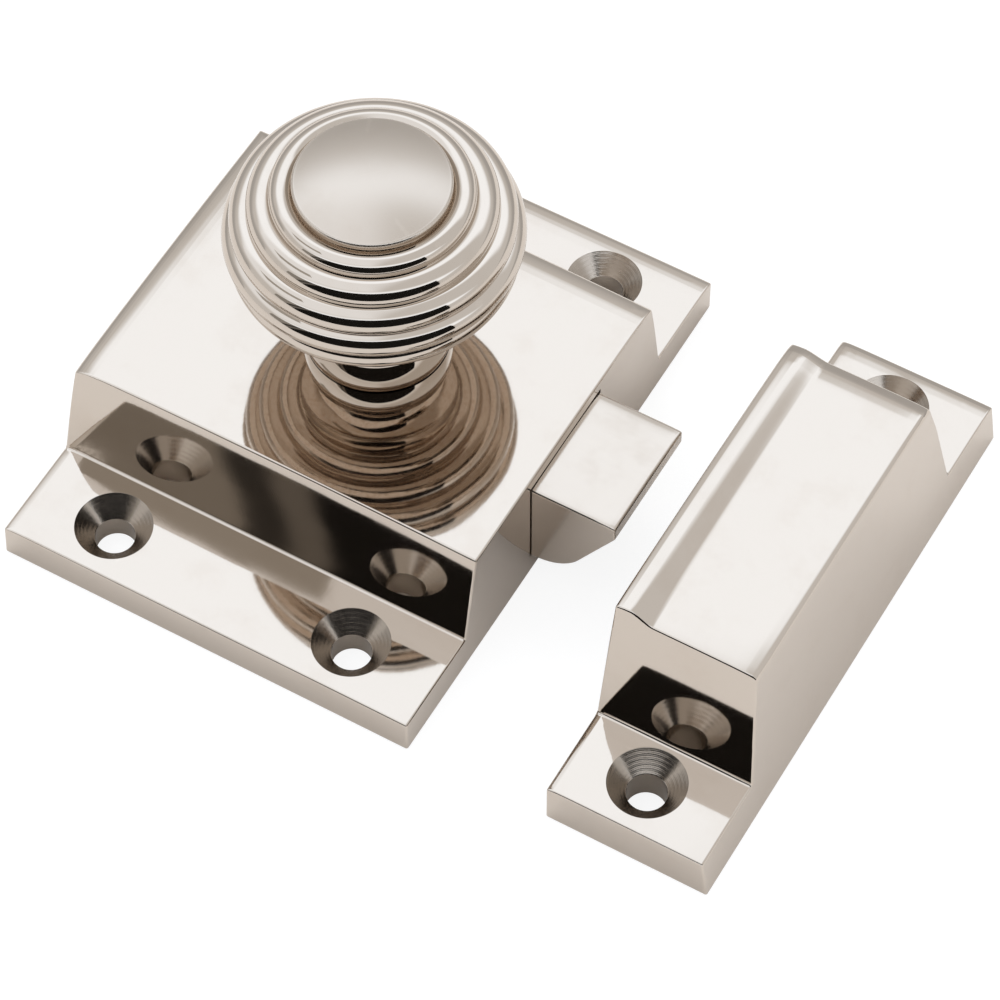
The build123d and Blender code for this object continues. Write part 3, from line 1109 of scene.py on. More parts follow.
@dataclass
class Keeper:
    """The keeper: a narrow block on two flanges with a lip along the side that faces the bolt."""

    left: float = 38.08
    width: float = 18.12
    length: float = 63.0
    height: float = 20.2
    flange: float = 5.5
    block_foot: float = 42.5
    block_top: float = 36.3
    side_lean: float = 7.0
    lip_rise: float = 0.8
    lip_width: float = 2.2
    lip_slope: float = 1.1
    lip_steps: int = 14
    soft_edge: float = 0.5
    far_reach: float = 0.25
    crisp_edge: float = 0.22
    crease_edge: float = 0.35
    hole_place: float = 8.3
    hole_spacing: float = 52.0
    wall_left: float = 3.2
    wall_right: float = 4.4
    pocket_length: float = 27.0
    pocket_roof: float = 15.25
    mouth_width: float = 16.4
    crown_top: float = 0.14
    far_roll: Point2 = (0.85, 0.55)
    left_roll: Point2 = (0.6, 0.28)
    right_roll: Point2 = (0.9, 0.16)
    flange_left_roll: Point2 = (0.5, 0.25)
    flange_far_roll: Point2 = (0.7, 0.40)
    crown_flange: float = 0.10
    slice_step: float = 1.5

    @property
    def right(self) -> float:
        """Give the foot of the keeper's right side."""
        return self.left + self.width

    def right_at(self, height: float) -> float:
        """Give the place of the leaning right side at a height."""
        return self.right - height * tan(radians(self.side_lean))

    def half_at(self, height: float) -> float:
        """Give half the block's length.

        Args:
            height: The height to measure at.

        Returns:
            Half the length there.
        """
        share = (height - self.flange) / (self.height + self.lip_rise - self.flange)
        return (self.block_foot + (self.block_top - self.block_foot) * share) / 2

    def blank(self) -> bpy.types.Object:
        """Make the solid block with its lip and flanges, with rounded edges.

        Returns:
            The blank.
        """
        top, lip = self.height, self.height + self.lip_rise
        end, foot = self.length / 2, self.block_foot / 2
        wave = [step / self.lip_steps for step in range(1, self.lip_steps)]
        start, reach = self.left + self.lip_width - 0.7, self.lip_slope + 1.7
        columns = [(self.left, lip), (start, lip)]
        columns += [(start + reach * t, lip - self.lip_rise * t * t * (3 - 2 * t)) for t in wave]
        columns += [(start + reach, top), (self.right_at(top), top)]
        points: list[Point3] = []
        for side in (-1, 1):
            points += [(self.left, side * end, 0.0), (self.right, side * end, 0.0)]
            for place in (end, foot):
                points += [(x, side * place, self.flange) for x in (self.left, self.right_at(self.flange))]
            extra = self.far_reach if side > 0 else 0.0
            points += [(x, side * (self.half_at(z) + extra), z) for x, z in columns]
        count = len(points) // 2
        last = count - 1
        faces: list[tuple[int, ...]] = [(0, 1, count + 1, count)]
        for base in (0, count):
            faces += [
                (base, base + 1, base + 3, base + 2),
                (base + 2, base + 3, base + 5, base + 4),
                (base + 4, base + 5, *range(base + last, base + 5, -1)),
            ]
        faces += [(i, i + 1, count + i + 1, count + i) for i in range(6, last)]
        faces.append((0, 2, 4, 6, count + 6, count + 4, count + 2, count))
        faces.append((1, 3, 5, last, count + last, count + 5, count + 3, count + 1))
        made = mesh_object("keeper_body", points, faces, POLISHED_NICKEL)
        round_edges(made, self.soft_edge, self._edge_share, 6)
        return made

    def _edge_share(self, edge: bmesh.types.BMEdge) -> float:
        """Give an edge's share of the soft rounding.

        Args:
            edge: An edge of the blank.

        Returns:
            The share, from 0 to 1.
        """
        first, second = (vertex.co for vertex in edge.verts)
        middle = (first + second) / 2
        crisp = self.crisp_edge / self.soft_edge
        if min(first.z, second.z) < self.flange / 2:
            return crisp
        if abs(abs(middle.y) - self.block_foot / 2) < 0.01 and abs(middle.z - self.flange) < 0.01:
            return self.crease_edge / self.soft_edge
        if abs(first.y - second.y) > self.block_top / 2:
            if middle.x < self.left + 0.1:
                return crisp
            return 0.0 if middle.x < self.left + 6 else 1.0
        return crisp

    def hollow(self, made: bpy.types.Object) -> None:
        """Cut the pocket and the mouth for the bolt.

        Args:
            made: The blank.
        """
        low, high = self.left + self.wall_left, self.right - self.wall_right
        half = self.pocket_length / 2
        pocket = prism(
            "pocket", [(low, -half), (high, -half), (high, half), (low, half)],
            upright, -1.0, self.pocket_roof, CAST_INSIDE,
        )
        half = self.mouth_width / 2
        mouth = prism(
            "mouth", [(self.left - 1, -half), (low + 1, -half), (low + 1, half), (self.left - 1, half)],
            upright, -1.0, self.pocket_roof, CAST_INSIDE,
        )
        carve(made, [pocket, mouth])

    def crown(self, made: bpy.types.Object) -> None:
        """Give the flat faces the slight crown that buffing leaves.

        Args:
            made: The keeper.
        """
        steps_x, steps_y = int(self.width / self.slice_step), int(self.length / self.slice_step)
        cuts = [(0, self.left + self.width * (i + 0.5) / steps_x) for i in range(steps_x)]
        cuts += [(1, -self.length / 2 + self.length * (i + 0.5) / steps_y) for i in range(steps_y)]
        cuts += [(2, self.flange + (self.height - self.flange) * i / 6) for i in range(1, 6)]
        far_top = self.half_at(self.height) + self.far_reach
        cuts += [(0, self.left + reach) for reach in KEEPER_CUTS[:4]]
        cuts += [(0, self.right_at(self.height) - reach) for reach in KEEPER_CUTS[:5]]
        cuts += [(1, far_top - reach) for reach in KEEPER_CUTS]
        cuts += [(1, self.length / 2 - reach) for reach in KEEPER_CUTS[:5]]
        slice_up(made, cuts)
        middle = self.left + self.width / 2

        def crowned(point: Vector) -> Point3:
            """Sink a point by the crown of the face that it lies on.

            Args:
                point: A point of the mesh.

            Returns:
                Its new place.
            """
            across = (point.x - middle) / (self.width / 2)
            along = min(1.0, abs(point.y) / (self.block_top / 2))
            rise = min(1.0, max(0.0, (point.z - self.pocket_roof) / (self.height - self.pocket_roof)))
            rise = rise * rise * (3 - 2 * rise)
            sink = self.crown_top * rise * (along**2 + along**8 + 0.6 * across**2)
            sink += rise * roll(far_top - point.y, *self.far_roll)
            sink += rise * roll(point.x - self.left, *self.left_roll)
            sink += rise * roll(self.right_at(point.z) - point.x, *self.right_roll)
            outer = (abs(point.y) - self.block_foot / 2) / ((self.length - self.block_foot) / 2)
            if outer > 0 and point.z > self.flange / 2:
                hump = self.crown_flange * (outer**2 + 0.5 * across**4)
                hump += roll(point.x - self.left, *self.flange_left_roll)
                if point.y > 0:
                    hump += roll(self.length / 2 - point.y, *self.flange_far_roll)
                sink += hump * (point.z - self.flange / 2) / (self.flange / 2)
            return point.x, point.y, point.z - sink

        move_points(made, crowned)

    def build(self) -> bpy.types.Object:
        """Build the keeper and hand it over.

        Returns:
            The finished keeper.
        """
        made = self.blank()
        self.hollow(made)
        sink = Countersink(flange=self.flange)
        for end in (-1, 1):
            carve(made, [sink.cutter("sink", (self.left + self.hole_place, end * self.hole_spacing / 2))])
        self.crown(made)
        smooth_shade(made)
        to_metres(made)
        hand_over(made, "case", "nickel", "keeper")
        return made


@dataclass
class TurnedKnob:
    """The knob, turned in one piece: domed end, seven reeds, neck and collar."""

    axis_y: float = 0.9
    radius: float = 14.30
    half_height: float = 8.62
    centre: float = 33.6
    reeds: int = 7
    first_reed: float = 2.55
    reed: float = 2.9
    reed_bulge: float = 0.80
    dome_radius: float = 7.95
    dome_sink: float = 0.35
    dome_step: float = 1.3
    dome_rise: float = 1.17
    dome_edge: float = 0.35
    neck_radius: float = 4.9
    collar_radius: float = 7.7
    collar_bottom: float = 16.7
    collar_height: float = 4.6
    collar_bulge: float = 0.25
    collar_edge: float = 0.8
    bore: float = 3.02
    bore_top: float = 32.8
    turn_steps: int = 256

    def ball(self, angle: float) -> Point2:
        """Give a place on the flattened ball.

        Args:
            angle: The angle from its top, in degrees.

        Returns:
            Radius and height.
        """
        return (
            self.radius * sin(radians(angle)),
            self.centre + self.half_height * cos(radians(angle)),
        )

    def reed_end(self, angle: float, width: float) -> float:
        """Give the angle at which a reed ends.

        Args:
            angle: The angle at which it starts.
            width: The reed's width.

        Returns:
            The angle at its end.
        """
        end = angle
        for part in range(2):
            middle = radians(angle if part == 0 else (angle + end) / 2)
            end = angle + degrees(width / hypot(self.radius * cos(middle), self.half_height * sin(middle)))
        return end

    def crest(self, angle: float) -> Point2:
        """Give the top of a reed.

        Args:
            angle: The angle of its middle, in degrees.

        Returns:
            Radius and height.
        """
        across = sin(radians(angle)) / self.radius
        along = cos(radians(angle)) / self.half_height
        scale = self.reed_bulge / hypot(across, along)
        radius, height = self.ball(angle)
        return radius + across * scale, height + along * scale

    @staticmethod
    def arc(first: Point2, crest: Point2, last: Point2, steps: int) -> list[Point2]:
        """Draw the arc through three points.

        Args:
            first: Its start.
            crest: A point on it.
            last: Its end.
            steps: The number of steps.

        Returns:
            The points after the first.
        """
        (ax, ay), (bx, by), (cx, cy) = first, crest, last
        area = 2 * (ax * (by - cy) + bx * (cy - ay) + cx * (ay - by))
        a2, b2, c2 = ax * ax + ay * ay, bx * bx + by * by, cx * cx + cy * cy
        ox = (a2 * (by - cy) + b2 * (cy - ay) + c2 * (ay - by)) / area
        oy = (a2 * (cx - bx) + b2 * (ax - cx) + c2 * (bx - ax)) / area
        radius = hypot(ax - ox, ay - oy)
        start = atan2(ay - oy, ax - ox)
        through = (atan2(by - oy, bx - ox) - start) % (2 * pi)
        sweep = (atan2(cy - oy, cx - ox) - start) % (2 * pi)
        if through > sweep:
            sweep -= 2 * pi
        turns = [start + sweep * step / steps for step in range(1, steps + 1)]
        return [(ox + radius * cos(t), oy + radius * sin(t)) for t in turns]

    def rounded_rim(self, radius: float, height: float, size: float) -> list[Point2]:
        """Draw the arc that rounds a turned rim's upper corner.

        Args:
            radius: The rim's radius.
            height: The rim's height.
            size: The arc's radius.

        Returns:
            The arc's points, its start included.
        """
        turns = [radians(90 * step / 10) for step in range(11)]
        return [(radius - size + size * cos(t), height - size + size * sin(t)) for t in turns]

    def profile(self) -> list[Point2]:
        """Draw the knob's profile from the bore's closed end round to the dome's middle.

        Returns:
            Radius and height of each point.
        """
        first = degrees(asin(self.dome_radius / self.radius))
        angles = [first, self.reed_end(first, self.first_reed)]
        while len(angles) <= self.reeds:
            angles.append(self.reed_end(angles[-1], self.reed))
        foot = self.ball(first)[1] - self.dome_sink
        rim = foot + self.dome_step
        flat = self.dome_radius - self.dome_edge
        top = rim + self.dome_rise
        neck_top = self.ball(angles[-1])
        collar_top = self.collar_bottom + self.collar_height
        collar_foot = self.collar_radius - self.collar_bulge
        points: list[Point2] = [
            (0.0, self.bore_top), (self.bore, self.bore_top),
            (self.bore, self.collar_bottom), (collar_foot, self.collar_bottom),
        ]
        points += self.arc(
            points[-1],
            (self.collar_radius, (self.collar_bottom + collar_top - self.collar_edge) / 2),
            (collar_foot, collar_top - self.collar_edge),
            14,
        )
        points += self.rounded_rim(collar_foot, collar_top, self.collar_edge)[1:]
        points += self.arc(points[-1], (self.neck_radius, (collar_top + neck_top[1]) / 2), neck_top, 26)
        for lower, upper in zip(angles[:0:-1], angles[-2:0:-1]):
            points += self.arc(self.ball(lower), self.crest((lower + upper) / 2), self.ball(upper), 18)
        points += self.arc(
            points[-1], self.crest((angles[0] + angles[1]) / 2), (self.dome_radius, foot), 18
        )
        points += [(self.dome_radius, foot + (rim - self.dome_edge - foot) * i / 3) for i in (1, 2)]
        points += self.rounded_rim(self.dome_radius, rim, self.dome_edge)
        ball = (flat**2 + self.dome_rise**2) / (2 * self.dome_rise)
        for step in range(1, 31):
            radius = flat * (1 - step / 30)
            points.append((radius, top - ball + (ball**2 - radius**2) ** 0.5))
        return points

    def lathe(self) -> GeometryRecipe:
        """Build the tree that turns a profile round the knob's axis.

        Returns:
            The recipe. It takes a mesh of edges with radius in X and height in Z.
        """
        recipe = GeometryRecipe("knob_lathe")
        graph = recipe.graph
        steps = recipe.size("Turn Steps", self.turn_steps)
        axis = recipe.size("Axis", (0.0, self.axis_y, 0.0))
        merge = recipe.size("Pole Merge", 0.0005)
        source = recipe.start.outputs["Geometry"]
        count = graph.add(
            "GeometryNodeAttributeDomainSize", {0: source}, component="MESH"
        ).outputs["Point Count"]
        rows = graph.math("ADD", steps, 1.0)
        sheet = graph.add(
            "GeometryNodeMeshGrid",
            {"Size X": 1.0, "Size Y": 1.0, "Vertices X": count, "Vertices Y": rows},
        ).outputs["Mesh"]
        number = graph.add("GeometryNodeInputIndex").outputs[0]
        column = graph.math("FLOOR", graph.math("DIVIDE", graph.math("ADD", number, 0.5), rows))
        row = graph.math("SUBTRACT", number, graph.math("MULTIPLY", column, rows))
        position = graph.add("GeometryNodeInputPosition").outputs[0]
        drawn = graph.add(
            "GeometryNodeSampleIndex",
            {"Geometry": source, "Value": position, "Index": column},
            data_type="FLOAT_VECTOR",
            domain="POINT",
        ).outputs[0]
        turn = graph.math("MULTIPLY", graph.math("DIVIDE", row, steps), 2 * pi)
        turned = graph.add(
            "ShaderNodeVectorRotate", {"Vector": drawn, "Angle": turn}, rotation_type="Z_AXIS"
        ).outputs[0]
        placed = graph.vector("ADD", turned, axis).outputs[0]
        shaped = graph.add("GeometryNodeSetPosition", {"Geometry": sheet, "Position": placed}).outputs[0]
        closed = graph.add(
            "GeometryNodeMergeByDistance", {"Geometry": shaped, "Distance": merge}
        ).outputs[0]
        recipe.finish(closed, KNOB_NICKEL)
        return recipe

    def build(self) -> bpy.types.Object:
        """Build the knob and hand it over.

        Returns:
            The finished knob.
        """
        points = [(radius, 0.0, height) for radius, height in self.profile()]
        mesh = bpy.data.meshes.new("knob_profile")
        mesh.from_pydata(points, [(i, i + 1) for i in range(len(points) - 1)], [])
        made = bpy.data.objects.new("knob_turned", mesh)
        bpy.context.scene.collection.objects.link(made)
        self.lathe().run(made, KNOB_NICKEL)
        close_up(made)
        smooth_shade(made, 50.0)
        to_metres(made)
        hand_over(made, "knob", "nickel", "knob")
        return made


@dataclass
class SpringBolt:
    """The bolt's nose, with crisp polished edges, over the CAD bolt's own tail."""

    edge: float = 0.22
    half: float = 7.0
    tip: float = 32.0
    top: float = 14.65
    crown_top: float = 0.10
    crown_depth: float = 2.0
    far_roll: Point2 = (0.8, 0.16)
    tip_roll: Point2 = (0.5, 0.10)
    near_roll: Point2 = (0.35, 0.10)
    nose_back: float = 15.9
    nose_from: float = 22.2

    def build(self) -> bpy.types.Object:
        """Build the bolt from the CAD solid, with its edges broken.

        Returns:
            The finished bolt.
        """
        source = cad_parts["bolt"]
        mesh = source.data.copy()
        mesh.name = "bolt_body"
        mesh.materials.clear()
        mesh.materials.append(SATIN_NICKEL.material())
        body = bmesh.new()
        body.from_mesh(mesh)
        for face in body.faces:
            face.material_index = 0
        bmesh.ops.scale(body, vec=(1 / MM,) * 3, verts=body.verts)
        bmesh.ops.remove_doubles(body, verts=body.verts, dist=1e-3)
        nose = [vertex for vertex in body.verts if vertex.co.x > self.nose_back]
        lines = [edge for edge in body.edges if all(v.co.x > self.nose_back for v in edge.verts)]
        bmesh.ops.dissolve_limit(body, angle_limit=radians(0.6), verts=nose, edges=lines)
        body.to_mesh(mesh)
        body.free()
        for name in ("sharp_edge", "custom_normal", "sharp_face"):
            stale = mesh.attributes.get(name)
            if stale is not None:
                mesh.attributes.remove(stale)
        made = bpy.data.objects.new("bolt_body", mesh)
        bpy.context.scene.collection.objects.link(made)
        round_edges(made, self.edge, self._edge_share, 3)
        self.crown(made)
        smooth_shade(made)
        to_metres(made)
        hand_over(made, "bolt", "nickel_satin", "bolt")
        return made

    def crown(self, made: bpy.types.Object) -> None:
        """Give the nose's top the slight crown that buffing leaves.

        Args:
            made: The bolt.
        """
        cuts = [(1, self.half - reach) for reach in NOSE_CUTS]
        cuts += [(1, -self.half + 0.5), (1, -self.half + 1.5), (0, self.nose_from)]
        cuts += [(0, self.tip - reach) for reach in NOSE_CUTS[:6]]
        slice_up(made, cuts)

        def crowned(point: Vector) -> Point3:
            """Sink a point of the nose's upper part.

            Args:
                point: A point of the mesh.

            Returns:
                Its new place.
            """
            if point.x < self.nose_from or point.z < self.top - self.crown_depth:
                return tuple(point)
            drop = self.crown_top * (point.y / self.half) ** 2
            drop += roll(self.half - point.y, *self.far_roll)
            drop += roll(self.tip - point.x, *self.tip_roll)
            drop += roll(self.half + point.y, *self.near_roll)
            share = (point.z - self.top) / self.crown_depth + 1.0
            return point.x, point.y, point.z - drop * share

        move_points(made, crowned)

    def _edge_share(self, edge: bmesh.types.BMEdge) -> float:
        """Give 1 for an outer edge of the nose that stands out of the case, and 0 for the others.

        Args:
            edge: An edge of the bolt.

        Returns:
            The share.
        """
        if len(edge.link_faces) != 2 or edge.calc_face_angle(0.0) < radians(25):
            return 0.0
        return 1.0 if max(v.co.x for v in edge.verts) > self.nose_back + 1.0 else 0.0


@dataclass
class BoltSpring:
    """The coil spring behind the bolt."""

    wire: float = 0.4
    radius: float = 3.0
    turns: float = 6.5
    kept_length: float = 0.467
    start: float = -22.25
    length: float = 15.15
    height: float = 5.05

    def build(self) -> bpy.types.Object:
        """Wind the spring and hand it over.

        Returns:
            The finished spring.
        """
        recipe = GeometryRecipe("spring_winding")
        graph = recipe.graph
        coil = graph.add(
            "GeometryNodeCurveSpiral",
            {
                "Resolution": recipe.size("Steps a Turn", 40),
                "Rotations": recipe.size("Turns", self.turns),
                "Start Radius": recipe.size("Coil Radius", self.radius),
                "End Radius": recipe.start.outputs["Coil Radius"],
                "Height": recipe.size("Coil Length", self.length),
            },
        ).outputs[0]
        laid = graph.add(
            "GeometryNodeTransform",
            {
                "Geometry": coil,
                "Translation": recipe.size("Coil Place", (self.start, 0.0, self.height)),
                "Rotation": (0.0, pi / 2, 0.0),
            },
        ).outputs[0]
        section = graph.add(
            "GeometryNodeCurvePrimitiveCircle",
            {"Resolution": 16, "Radius": recipe.size("Wire Radius", self.wire)},
        ).outputs[0]
        wound = graph.add(
            "GeometryNodeCurveToMesh", {"Curve": laid, "Profile Curve": section, "Fill Caps": True}
        ).outputs[0]
        recipe.finish(wound, SPRING_WIRE)
        made = mesh_object("spring_coil", [(0, 0, 0)], [], SPRING_WIRE)
        recipe.run(made, SPRING_WIRE)
        close_up(made)
        smooth_shade(made, 60.0)
        to_metres(made)
        hand_over(made, "case", "spring_steel", "bolt_spring")
        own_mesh(made)
        return made


@dataclass
class CoverScrews:
    """The four slotted countersunk screws that hold the back cover."""

    head: float = 2.2
    shank: float = 1.25
    length: float = 5.0
    slot_width: float = 0.5
    slot_depth: float = 0.45
    middle: float = -1.25
    spacing: Point2 = (30.0, 33.0)

    def pattern_screw(self) -> bpy.types.Object:
        """Make one screw, its head at height 0.

        Returns:
            The screw.
        """
        profile = [
            (0.0, 0.0), (self.head - 0.06, 0.0), (self.head, 0.06),
            (self.shank, self.head - self.shank), (self.shank, self.length - 0.3),
            (self.shank - 0.3, self.length), (0.0, self.length),
        ]
        screw = turned_solid("pattern_screw", profile, (0.0, 0.0), ZINC_SCREW, 48)
        half, reach = self.slot_width / 2, self.head + 1
        slot = prism(
            "driver_slot", [(-reach, -half), (reach, -half), (reach, half), (-reach, half)],
            upright, -1.0, self.slot_depth, ZINC_SCREW,
        )
        carve(screw, [slot])
        return screw

    def build(self) -> bpy.types.Object:
        """Set the screws on their four places and hand them over.

        Returns:
            The finished screws.
        """
        screw = self.pattern_screw()
        recipe = GeometryRecipe("screw_setting")
        graph = recipe.graph
        grid = graph.add(
            "GeometryNodeMeshGrid",
            {
                "Size X": recipe.size("Spacing X", self.spacing[0]),
                "Size Y": recipe.size("Spacing Y", self.spacing[1]),
                "Vertices X": 2,
                "Vertices Y": 2,
            },
        ).outputs["Mesh"]
        moved = graph.add(
            "GeometryNodeTransform",
            {"Geometry": grid, "Translation": recipe.size("Middle", (self.middle, 0.0, 0.0))},
        ).outputs[0]
        number = graph.add("GeometryNodeInputIndex").outputs[0]
        turn = graph.math("MULTIPLY", number, recipe.size("Slot Turn", 0.9))
        set_out = graph.add(
            "GeometryNodeInstanceOnPoints",
            {
                "Points": moved,
                "Instance": recipe.start.outputs["Geometry"],
                "Rotation": graph.add("ShaderNodeCombineXYZ", {2: turn}).outputs[0],
            },
        ).outputs[0]
        recipe.finish(set_out, ZINC_SCREW)
        recipe.run(screw, ZINC_SCREW)
        screw.name = "cover_screw_set"
        smooth_shade(screw)
        to_metres(screw)
        hand_over(screw, "case", "steel", "cover_screws")
        return screw


@dataclass
class PlainWorks:
    """CAD nodes inside the case that stay as they are and only get their finish."""

    finishes: dict[str, MetalFinish] = field(
        default_factory=lambda: {
            "back_cover": ROLLED_BRASS,
            "cam": TURNED_BRASS,
            "spacer": TURNED_BRASS,
            "spindle": TURNED_STEEL,
            "cam_clip": SPRING_WIRE,
            "spring_guide": TURNED_STEEL,
        }
    )

    def build(self) -> None:
        """Give each node its finish."""
        for name, finish in self.finishes.items():
            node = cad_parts[name]
            node.data.materials.clear()
            node.data.materials.append(finish.material())
            for polygon in node.data.polygons:
                polygon.material_index = 0
            LOG.info("%s: kept from CAD, %s", name, finish.name)


# Studio


@dataclass(frozen=True)
class SoftPatch:
    """A patch of the tent with soft edges.

    Each range says, in degrees from straight up, where the patch starts to rise, is full,
    starts to fall and has gone.
    """

    tilt: tuple[float, float, float, float]
    lean: tuple[float, float, float, float]

    def mask(
        self, graph: NodeGraph, tilt: bpy.types.NodeSocket, lean: bpy.types.NodeSocket
    ) -> bpy.types.NodeSocket:
        """Build the patch's share at each direction.

        Args:
            graph: The world's tree.
            tilt: The direction's angle towards the far side.
            lean: The direction's angle to the right.

        Returns:
            The share, from 0 to 1.
        """
        bands = []
        for angle, marks in ((lean, self.lean), (tilt, self.tilt)):
            start, full, fall, gone = (radians(mark) for mark in marks)
            bands.append(graph.between(angle, (start, full), (fall, gone)))
        return graph.math("MULTIPLY", *bands)


@dataclass
class Studio:
    """A pale floor, a white light tent with two light bars, and the camera."""

    camera_place: Point3 = (149.11, -232.15, 395.30)
    azimuth: float = 30.0594
    elevation: float = 55.9581
    roll: float = 0.1886
    lens: float = 165.905
    floor_size: float = 6.0
    tent: float = 0.82
    ceiling: Colour = (1.22, 1.28, 1.36)
    bar: Colour = (1.44, 1.55, 1.69)
    wall: float = 0.56
    ceiling_share: float = 0.85
    ceiling_patch: SoftPatch = SoftPatch((-45.0, -25.0, 25.0, 40.0), (-70.0, -50.0, -6.0, 10.0))
    far_bar: SoftPatch = SoftPatch((18.0, 30.0, 38.0, 50.0), (-58.0, -22.0, 28.0, 62.0))
    near_bar: SoftPatch = SoftPatch((-66.0, -58.0, -48.0, -30.0), (-70.0, -50.0, 60.0, 75.0))
    far_wall_tilt: Point2 = (42.0, 74.0)
    left_wall_lean: Point2 = (-58.0, -84.0)
    left_wall_tilt: Point2 = (-5.0, 30.0)
    front: float = -60.0
    hood: float = 0.50
    hood_place: Point3 = (-46.0, -36.0, 108.0)
    hood_size: Point2 = (40.0, 18.0)
    card_distance: float = 75.0
    card_outline: tuple[Point2, ...] = (
        (-175.0, 50.0), (-109.0, 34.0), (-84.5, 24.0), (86.0, 24.0), (86.0, 92.0), (-175.0, 98.0),
    )
    card_slant: float = -0.5
    card_middle: float = 42.0
    card_tone: float = 0.34
    card_changes: tuple[Point3, ...] = (
        (-119.0, -110.0, 0.05), (-106.0, -97.0, 0.20), (-93.5, -86.5, 0.012),
    )
    lamp_power: float = 1.0
    lamp_size: Point2 = (0.7, 0.25)
    lamp_place: Point3 = (-0.15, 0.26, 0.55)
    floor_colour: Colour = (0.86, 0.82, 0.78)
    floor_shade: float = 0.20
    floor_glow: float = 0.86
    floor_gap: float = 0.00005

    def build(self) -> None:
        """Build floor, light and camera."""
        self.make_camera()
        self.make_floor()
        self.make_tent()
        self.make_card()
        self.make_lamp()
        scene = bpy.context.scene
        scene.view_settings.view_transform = "Standard"

    def make_camera(self) -> None:
        """Put the camera where the photograph was taken from."""
        data = bpy.data.cameras.new("camera")
        data.sensor_width = 36.0
        data.sensor_fit = "HORIZONTAL"
        data.lens = self.lens
        data.clip_start, data.clip_end = 0.01, 20.0
        camera = bpy.data.objects.new("camera", data)
        bpy.context.scene.collection.objects.link(camera)
        turn = radians(self.azimuth)
        tilt = radians(self.elevation)
        right = Vector((cos(turn), sin(turn), 0.0))
        back = Vector((cos(tilt) * sin(turn), -cos(tilt) * cos(turn), sin(tilt)))
        rise = back.cross(right)
        matrix = Matrix((right, rise, back)).transposed()
        rolled = matrix @ Quaternion((0.0, 0.0, 1.0), radians(-self.roll)).to_matrix()
        camera.matrix_world = Matrix.Translation(Vector(self.camera_place) * MM) @ rolled.to_4x4()
        bpy.context.scene.camera = camera

    def make_floor(self) -> None:
        """Lay the pale floor that keeps the object's shadow."""
        half = self.floor_size / 2
        mesh = bpy.data.meshes.new("floor")
        mesh.from_pydata(
            [(-half, -half, 0.0), (half, -half, 0.0), (half, half, 0.0), (-half, half, 0.0)],
            [],
            [(0, 1, 2, 3)],
        )
        floor = bpy.data.objects.new("floor", mesh)
        floor.location = (0.0, 0.0, -self.floor_gap)
        bpy.context.scene.collection.objects.link(floor)
        paper = bpy.data.materials.new("white_paper")
        paper.use_nodes = True
        graph = NodeGraph(paper.node_tree)
        matt = graph.add("ShaderNodeBsdfDiffuse", {"Color": (*self.floor_colour, 1.0)})
        shade = graph.add("ShaderNodeBsdfDiffuse", {"Color": (*(self.floor_shade,) * 3, 1.0)})
        glow = graph.add("ShaderNodeEmission", {"Color": (*(self.floor_glow,) * 3, 1.0)})
        seen = graph.add("ShaderNodeAddShader", {0: shade.outputs[0], 1: glow.outputs[0]})
        rays = graph.add("ShaderNodeLightPath").outputs
        share = graph.math("MAXIMUM", rays["Is Camera Ray"], rays["Is Transmission Ray"])
        mixed = graph.add("ShaderNodeMixShader", {0: share, 1: matt.outputs[0], 2: seen.outputs[0]})
        graph.add("ShaderNodeOutputMaterial", {"Surface": mixed.outputs[0]})
        mesh.materials.append(paper)

    def make_tent(self) -> None:
        """Build the light tent round the object: pale walls, a bright ceiling and two light bars."""
        world = bpy.data.worlds.new("light_tent")
        bpy.context.scene.world = world
        world.use_nodes = True
        graph = NodeGraph(world.node_tree)
        way = graph.add("ShaderNodeTexCoord").outputs["Generated"]
        front = radians(self.front)
        rise = graph.add("ShaderNodeSeparateXYZ", {0: way}).outputs[2]
        ahead = (-cos(front), -sin(front), 0.0)
        depth = graph.vector("DOT_PRODUCT", way, ahead).outputs["Value"]
        across = graph.vector("DOT_PRODUCT", way, (-sin(front), cos(front), 0.0)).outputs["Value"]
        tilt = graph.math("ARCTAN2", depth, rise)
        lean = graph.math("ARCTAN2", across, rise)
        ceiling = self.ceiling_patch.mask(graph, tilt, lean)
        bars = graph.math(
            "MAXIMUM", self.far_bar.mask(graph, tilt, lean), self.near_bar.mask(graph, tilt, lean)
        )
        far_wall = graph.smooth(tilt, *(radians(mark) for mark in self.far_wall_tilt))
        left_wall = graph.math(
            "MULTIPLY",
            graph.smooth(lean, *(radians(mark) for mark in self.left_wall_lean)),
            graph.smooth(tilt, *(radians(mark) for mark in self.left_wall_tilt)),
        )
        walls = graph.blend(
            graph.math("MAXIMUM", far_wall, left_wall), (self.tent,) * 3, (self.wall,) * 3
        )
        lit = graph.blend(graph.math("MULTIPLY", ceiling, self.ceiling_share), walls, self.ceiling)
        lit = graph.blend(bars, lit, self.bar)
        tent = graph.add("ShaderNodeBackground", {"Color": lit, "Strength": 1.0}).outputs[0]
        white = graph.add(
            "ShaderNodeBackground", {"Color": (1.0, 1.0, 1.0, 1.0), "Strength": 1.0}
        ).outputs[0]
        rays = graph.add("ShaderNodeLightPath").outputs
        seen = graph.math("MAXIMUM", rays["Is Camera Ray"], rays["Is Transmission Ray"])
        mixed = graph.add("ShaderNodeMixShader", {0: seen, 1: tent, 2: white})
        graph.add("ShaderNodeOutputWorld", {"Surface": mixed.outputs[0]})

